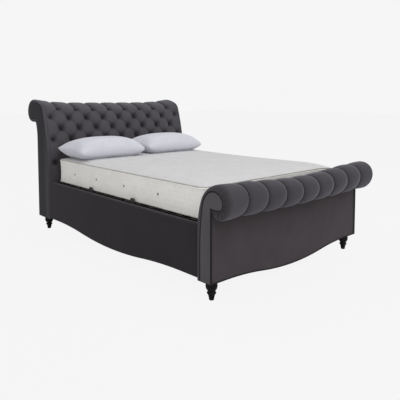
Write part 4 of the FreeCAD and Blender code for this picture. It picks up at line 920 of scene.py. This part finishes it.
holder_plastic = moulded("holder_plastic", (0.020, 0.020, 0.021), 700.0, 0.45)
rubber = moulded("stop_rubber", (0.012, 0.012, 0.012), 500.0, 0.75)
dress(black_steel, "left_side_tube", "right_side_tube", "head_tube", "foot_tube")
dress(black_steel, "cross_tubes", "slat_rail")
dress(holder_plastic, "slat_holders")
dress(rubber, "rubber_stops")
beech = sawn_wood("sprung_beech", (0.66, 0.47, 0.28), (0.52, 0.34, 0.18), 0)
dress(beech, "sprung_slats")


def webbing():
    finish = Finish("black_webbing", 0.8, Sheen_Weight=0.1)
    ribs = (finish.axis("X") * 2600).maths("SINE")
    rows = (finish.axis("Z") * 1900).maths("SINE")
    weave = ribs * rows
    colour = finish.mix(weave * 0.5 + 0.5, (0.010, 0.010, 0.011), (0.034, 0.034, 0.036))
    return finish.done(colour, weave * 0.05 + 0.78, weave, 0.0004, 0.7)


def pull_strap():
    low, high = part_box("pull_strap")
    thick, face = 0.0026, high.y - 0.0002
    stand, tab, half = 0.0072, 0.020, (high.x - low.x) / 2
    lines = []
    for x in np.linspace(-half, half, 61):
        out = stand * smooth_step(half - abs(x), tab - 0.002, tab + 0.010)
        rim = [(0.0, 0.0006), (0.0006, 0.0), (thick - 0.0006, 0.0), (thick, 0.0006)]
        rim = rim + [(depth, (high.z - low.z) - rise) for depth, rise in rim[::-1]]
        lines.append([(x, face - out - depth, low.z + rise) for depth, rise in rim])
    return loft("pull_strap_webbing", np.array(lines))


fit_out(pull_strap(), webbing(), "webbing", "platform", "pull_strap")


def retainers():
    """Four pressed steel tongues that stand up from the side tubes beside the mattress."""
    low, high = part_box("mattress_retainers")
    half, turn, proud, thick, out = 0.029, 0.017, 0.007, 0.007, 0.0025
    top = high.z + proud
    for side, hand in SIDES:
        depths = sorted((side * (high.x + out), side * (high.x + out - thick)))
        for rear, y in (("front", low.y + half), ("rear", high.y - half)):
            outline = [(y - half, low.z), (y + half, low.z)]
            outline += quarter((y + half - turn, top - turn), turn, 0, 90, 8)
            outline += quarter((y - half + turn, top - turn), turn, 90, 180, 8)
            yield slab(f"{hand}_{rear}_retainer", outline, depths, (0.002, 0.002))


for piece in retainers():
    fit_out(piece, black_steel, "black_steel", "platform", "mattress_retainers")

# Edge strips. Black strips stand along the outer ends of the slat holders, where the
# mattress overhangs them, as painted shade that keeps the gap under the mattress dark.
low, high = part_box("slat_holders")
strip_outline = [(low.y, low.z), (high.y, low.z), (high.y, high.z), (low.y, high.z)]
strip_depths = (high.x + 0.0005, high.x + 0.0035)
for piece, _ in both_sides("edge_strip", strip_outline, strip_depths, (0.001, 0.001)):
    fit_out(piece, rubber, "black_rubber", "platform")

# Mattress. A pocket sprung mattress in off-white damask: taped edges round the top and the
# bottom, hand stitched borders with four bronze vents a side, and a lightly tufted top.
MATTRESS_CORNER, MATTRESS_WAIST, MATTRESS_EDGE = 0.060, 0.005, 0.010
MATTRESS_SIDE, MATTRESS_CROWN, CROWN_REACH = 0.208, 0.028, 0.17
WORN_CORNER, WORN_CORNER_REACH, WORN_SIDE = 0.024, 0.24, 0.014
TUFT_DEPTH, TUFT_X, TUFT_Y, STITCH_STEP, TAPE_RADIUS = 0.0035, 0.30, 0.36, 0.018, 0.0042
VENT_PLACES, VENT_RISE = (0.624, 1.053, 1.462, 1.830), 0.100
bed_low, bed_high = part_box("mattress")
bed_middle, bed_half = (bed_low + bed_high) / 2, (bed_high - bed_low) / 2


def plan_loop(inset):
    """The mattress from above, drawn in by inset: its four rounded corners' points."""
    half_x, half_y = bed_half.x - inset, bed_half.y - inset
    radius = min(MATTRESS_CORNER, half_x, half_y)
    loop = []
    for start, sign_x, sign_y in ((0, 1, 1), (90, -1, 1), (180, -1, -1), (270, 1, -1)):
        centre_x = bed_middle.x + sign_x * (half_x - radius)
        centre = (centre_x, bed_middle.y + sign_y * (half_y - radius))
        loop += quarter(centre, radius, start, start + 90, 9)
    return np.array(loop)


def worn(places, rise):
    """How far the top has sunk from use: at a foot end corner, and along the right."""
    x, y = places[:, 0] - bed_middle.x, places[:, 1] - bed_middle.y
    to_corner = np.hypot(bed_half.x - np.abs(x), bed_half.y + y)
    to_right = np.clip(x / bed_half.x, 0, 1)
    sunk = WORN_CORNER * to_right * np.clip(1 - to_corner / WORN_CORNER_REACH, 0, 1) ** 1.5
    sunk += WORN_SIDE * to_right**4 * np.cos(math.pi * y / (2 * bed_half.y)) ** 2
    return sunk * np.clip(rise / MATTRESS_SIDE, 0, 1) ** 3


def short_steps(inset):
    """The drawn in outline again, in as many short steps as at its full size."""
    loop, full, points = plan_loop(inset), plan_loop(0.0), []
    lengths = np.linalg.norm(np.roll(full, -1, axis=0) - full, axis=1)
    for start, end, length in zip(loop, np.roll(loop, -1, axis=0), lengths):
        count = max(1, round(length / STITCH_STEP))
        points += [start + (end - start) * step / count for step in range(count)]
    return np.array(points)


def mattress_grid():
    rows = [(0.30, 0.0), (0.05, 0.0), (MATTRESS_EDGE, 0.0), (0.004, 0.003), (0.0, 0.010)]
    for share in np.linspace(0.05, 0.95, 31):
        stitched = 0.0006 * math.cos(share * 6 * math.pi) ** 8
        waist = MATTRESS_WAIST * math.sin(math.pi * share) ** 0.6
        rows.append((waist + stitched, MATTRESS_SIDE * share))
    rows += [(0.0, MATTRESS_SIDE - 0.010), (0.003, MATTRESS_SIDE - 0.004)]
    rows += [(0.008, MATTRESS_SIDE + 0.001), (0.014, MATTRESS_SIDE + 0.004)]
    for inset in np.linspace(0.024, 0.693, 60):
        share = min(1.0, (inset - MATTRESS_EDGE) / CROWN_REACH)
        crown = (MATTRESS_CROWN - 0.006) * (1 - (1 - share) ** 2.2)
        rows.append((inset, MATTRESS_SIDE + 0.004 + crown))
    grid = []
    for inset, rise in rows:
        flat = short_steps(inset)
        z = bed_low.z + rise - worn(flat, rise)
        if rise > MATTRESS_SIDE + 0.005:
            waves = np.cos(2 * math.pi * flat / (TUFT_X, TUFT_Y))
            depth = TUFT_DEPTH * min(1, (rise - MATTRESS_SIDE) / 0.012)
            z -= depth * np.clip(waves.prod(axis=1), 0, 1) ** 4
        grid.append(np.column_stack([flat, z]))
    # 1 on the top, which gets the ticking's darker, painted colour.
    on_top = np.array([[rise > MATTRESS_SIDE] * len(grid[0]) for _, rise in rows], float)
    return store_painted_shade(loft("sprung_mattress", np.array(grid)), on_top)


def ticking():
    finish = Finish("damask_ticking", 0.85, Sheen_Weight=0.08)
    blotch = finish.noise(7.0, 3.0).between(0.30, 0.70)
    vines = finish.noise(38.0, 2.0).between(0.44, 0.56)
    weave = finish.noise(1200.0, 2.0)
    tone = blotch * 0.55 + vines * 0.25 + weave * 0.20
    # Painted light and shade: the borders are painted paler and the top darker, to even out how the lamps
    # light them.
    side = finish.mix(tone, (0.810, 0.795, 0.760), (0.915, 0.900, 0.870))
    top = finish.mix(tone, (0.545, 0.545, 0.550), (0.620, 0.620, 0.630))
    colour, relief = finish.mix(stored_painted_shade(finish), side, top), vines * 0.7 + weave * 0.3
    return finish.done(colour, weave * 0.1 + 0.80, relief, 0.0008, 0.45)


fit_out(mattress_grid(), ticking(), "mattress_ticking", "platform", "mattress", fill=1.0)
tape_cloth = moulded("edge_tape", (0.36, 0.35, 0.325), 600.0, 0.85)
for name, inset, rise in (
    ("top_edge_tape", 0.0050, MATTRESS_SIDE - 0.001),
    ("bottom_edge_tape", 0.0030, 0.007),
):
    around = short_steps(inset)
    line = np.column_stack([around, bed_low.z + rise - worn(around, rise)])
    tape = welt(name, line, TAPE_RADIUS)
    tape.data.splines[0].use_cyclic_u = True
    fit_out(tape, tape_cloth, "mattress_ticking", "platform")


def vents():
    """Round metal vents pressed into the two long borders of the mattress."""
    profile = [(0.0008, -0.0016), (0.0040, -0.0014), (0.0050, 0.0004), (0.0066, 0.0012)]
    profile += [(0.0082, 0.0010), (0.0092, -0.0002)]
    grids = []
    for side, _ in SIDES:
        outwards = ((0, 0, side), (1, 0, 0), (0, 1, 0))
        for place in VENT_PLACES:
            spot = (side * (bed_half.x - MATTRESS_WAIST), FRONT + place, bed_low.z + VENT_RISE)
            grids.append(turned(profile, 24, spot, outwards))
    return loft("mattress_vents", *grids)


bronze = bare_metal("dark_bronze", (0.085, 0.070, 0.052), 0.50, (200.0, 200.0, 200.0))
fit_out(vents(), bronze, "mattress_ticking", "platform")


# Pillows. Two plain cotton pillows lie on the mattress against the headboard, the left one a
# little in front. Each is a closed case that is blown up from inside, by how a cloth
# simulation swells the left one.
PILLOW_FRONT_SEAM, PILLOW_REAR_SEAM, PILLOW_PROUD, PILLOW_SWELL = 0.074, 0.100, 0.010, 0.014
PILLOW_WAIST_X, PILLOW_WAIST_Y, PILLOW_BLUNT = 0.035, 0.060, 0.070
PILLOW_REST, CASE_X, CASE_Y = 0.003, 73, 47


def pillow_case(name, node):
    """Two sheets joined round the rim, lens shaped, thin and pointed at the corners."""
    low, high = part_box(node)
    half, middle = (high - low) / 2, (low + high) / 2
    index, points, faces = {}, [], []
    for side in (1, -1):
        for i, p in enumerate(np.linspace(-1, 1, CASE_X)):
            for j, q in enumerate(np.linspace(-1, 1, CASE_Y)):
                if side < 0 and (i in (0, CASE_X - 1) or j in (0, CASE_Y - 1)):
                    index[side, i, j] = index[1, i, j]
                    continue
                lens = ((1 - abs(p) ** 2.6) * (1 - abs(q) ** 2.4)) ** 0.56
                blunt = 1 - PILLOW_BLUNT * max(0.0, -q) ** 6 * abs(p) ** 6
                rear = (q + 1) / 2
                seam = low.z + PILLOW_FRONT_SEAM * (1 - rear) + PILLOW_REAR_SEAM * rear
                under = (low.z + PILLOW_REST - seam) * lens**0.62
                rise = (high.z - seam) * lens if side > 0 else under
                x = middle.x + p * half.x * blunt * (1 - PILLOW_WAIST_X * (1 - q * q))
                y = middle.y + q * half.y * blunt * (1 - PILLOW_WAIST_Y * (1 - p * p))
                index[side, i, j] = len(points)
                points.append((x, y, seam + rise))
        for i in range(CASE_X - 1):
            for j in range(CASE_Y - 1):
                corners = [(i, j), (i + 1, j), (i + 1, j + 1), (i, j + 1)]
                faces.append([index[side, *corner] for corner in corners][::side])
    return solid_mesh(name, points, faces)


def places(mesh):
    return np.array([vertex.co for vertex in mesh.vertices])


def swelling(piece, node):
    """How air pressure moves a case's points. Those that move far, or out of its place, are
    held back."""
    low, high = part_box(node)
    start = places(piece.data)
    cloth = piece.modifiers.new("air", "CLOTH")
    cloth.settings.use_pressure = True
    cloth.settings.uniform_pressure_force = 4
    cloth.settings.tension_stiffness = cloth.settings.compression_stiffness = 25
    cloth.settings.effector_weights.gravity = 0
    for number in range(1, 21):
        scene.frame_set(number)
    swollen = piece.evaluated_get(bpy.context.evaluated_depsgraph_get()).to_mesh()
    moved = places(swollen) - start
    piece.modifiers.remove(cloth)
    scene.frame_set(1)
    far = np.linalg.norm(moved, axis=1)[:, None]
    settled = start + moved * np.minimum(1, PILLOW_SWELL / np.maximum(far, 1e-6))
    highest = np.array(high) + (0.0, 0.0, PILLOW_PROUD)
    return np.clip(settled, np.array(low) + 0.0004, highest) - start


def cotton():
    finish = Finish("pillow_cotton", 0.8, Sheen_Weight=0.1)
    weave = finish.noise(1500.0, 2.0)
    soft = finish.noise(9.0, 3.0)
    colour = finish.mix(soft * 0.7 + weave * 0.3, (0.555, 0.560, 0.625), (0.670, 0.665, 0.725))
    return finish.done(colour, weave * 0.1 + 0.76, soft * 0.6 + weave * 0.2, 0.003, 0.35)


pillow_cotton, swell = cotton(), None
for _, hand in SIDES:
    case = pillow_case(hand + "_bed_pillow", hand + "_pillow")
    swell = swelling(case, hand + "_pillow") if swell is None else swell
    case.data.vertices.foreach_set("co", (places(case.data) + swell).ravel())
    case.data.update()
    smooth = case.modifiers.new("smooth", "SUBSURF")
    smooth.levels = smooth.render_levels = 1
    fit_out(case, pillow_cotton, "pillow_cotton", "platform", hand + "_pillow", fill=0.6)
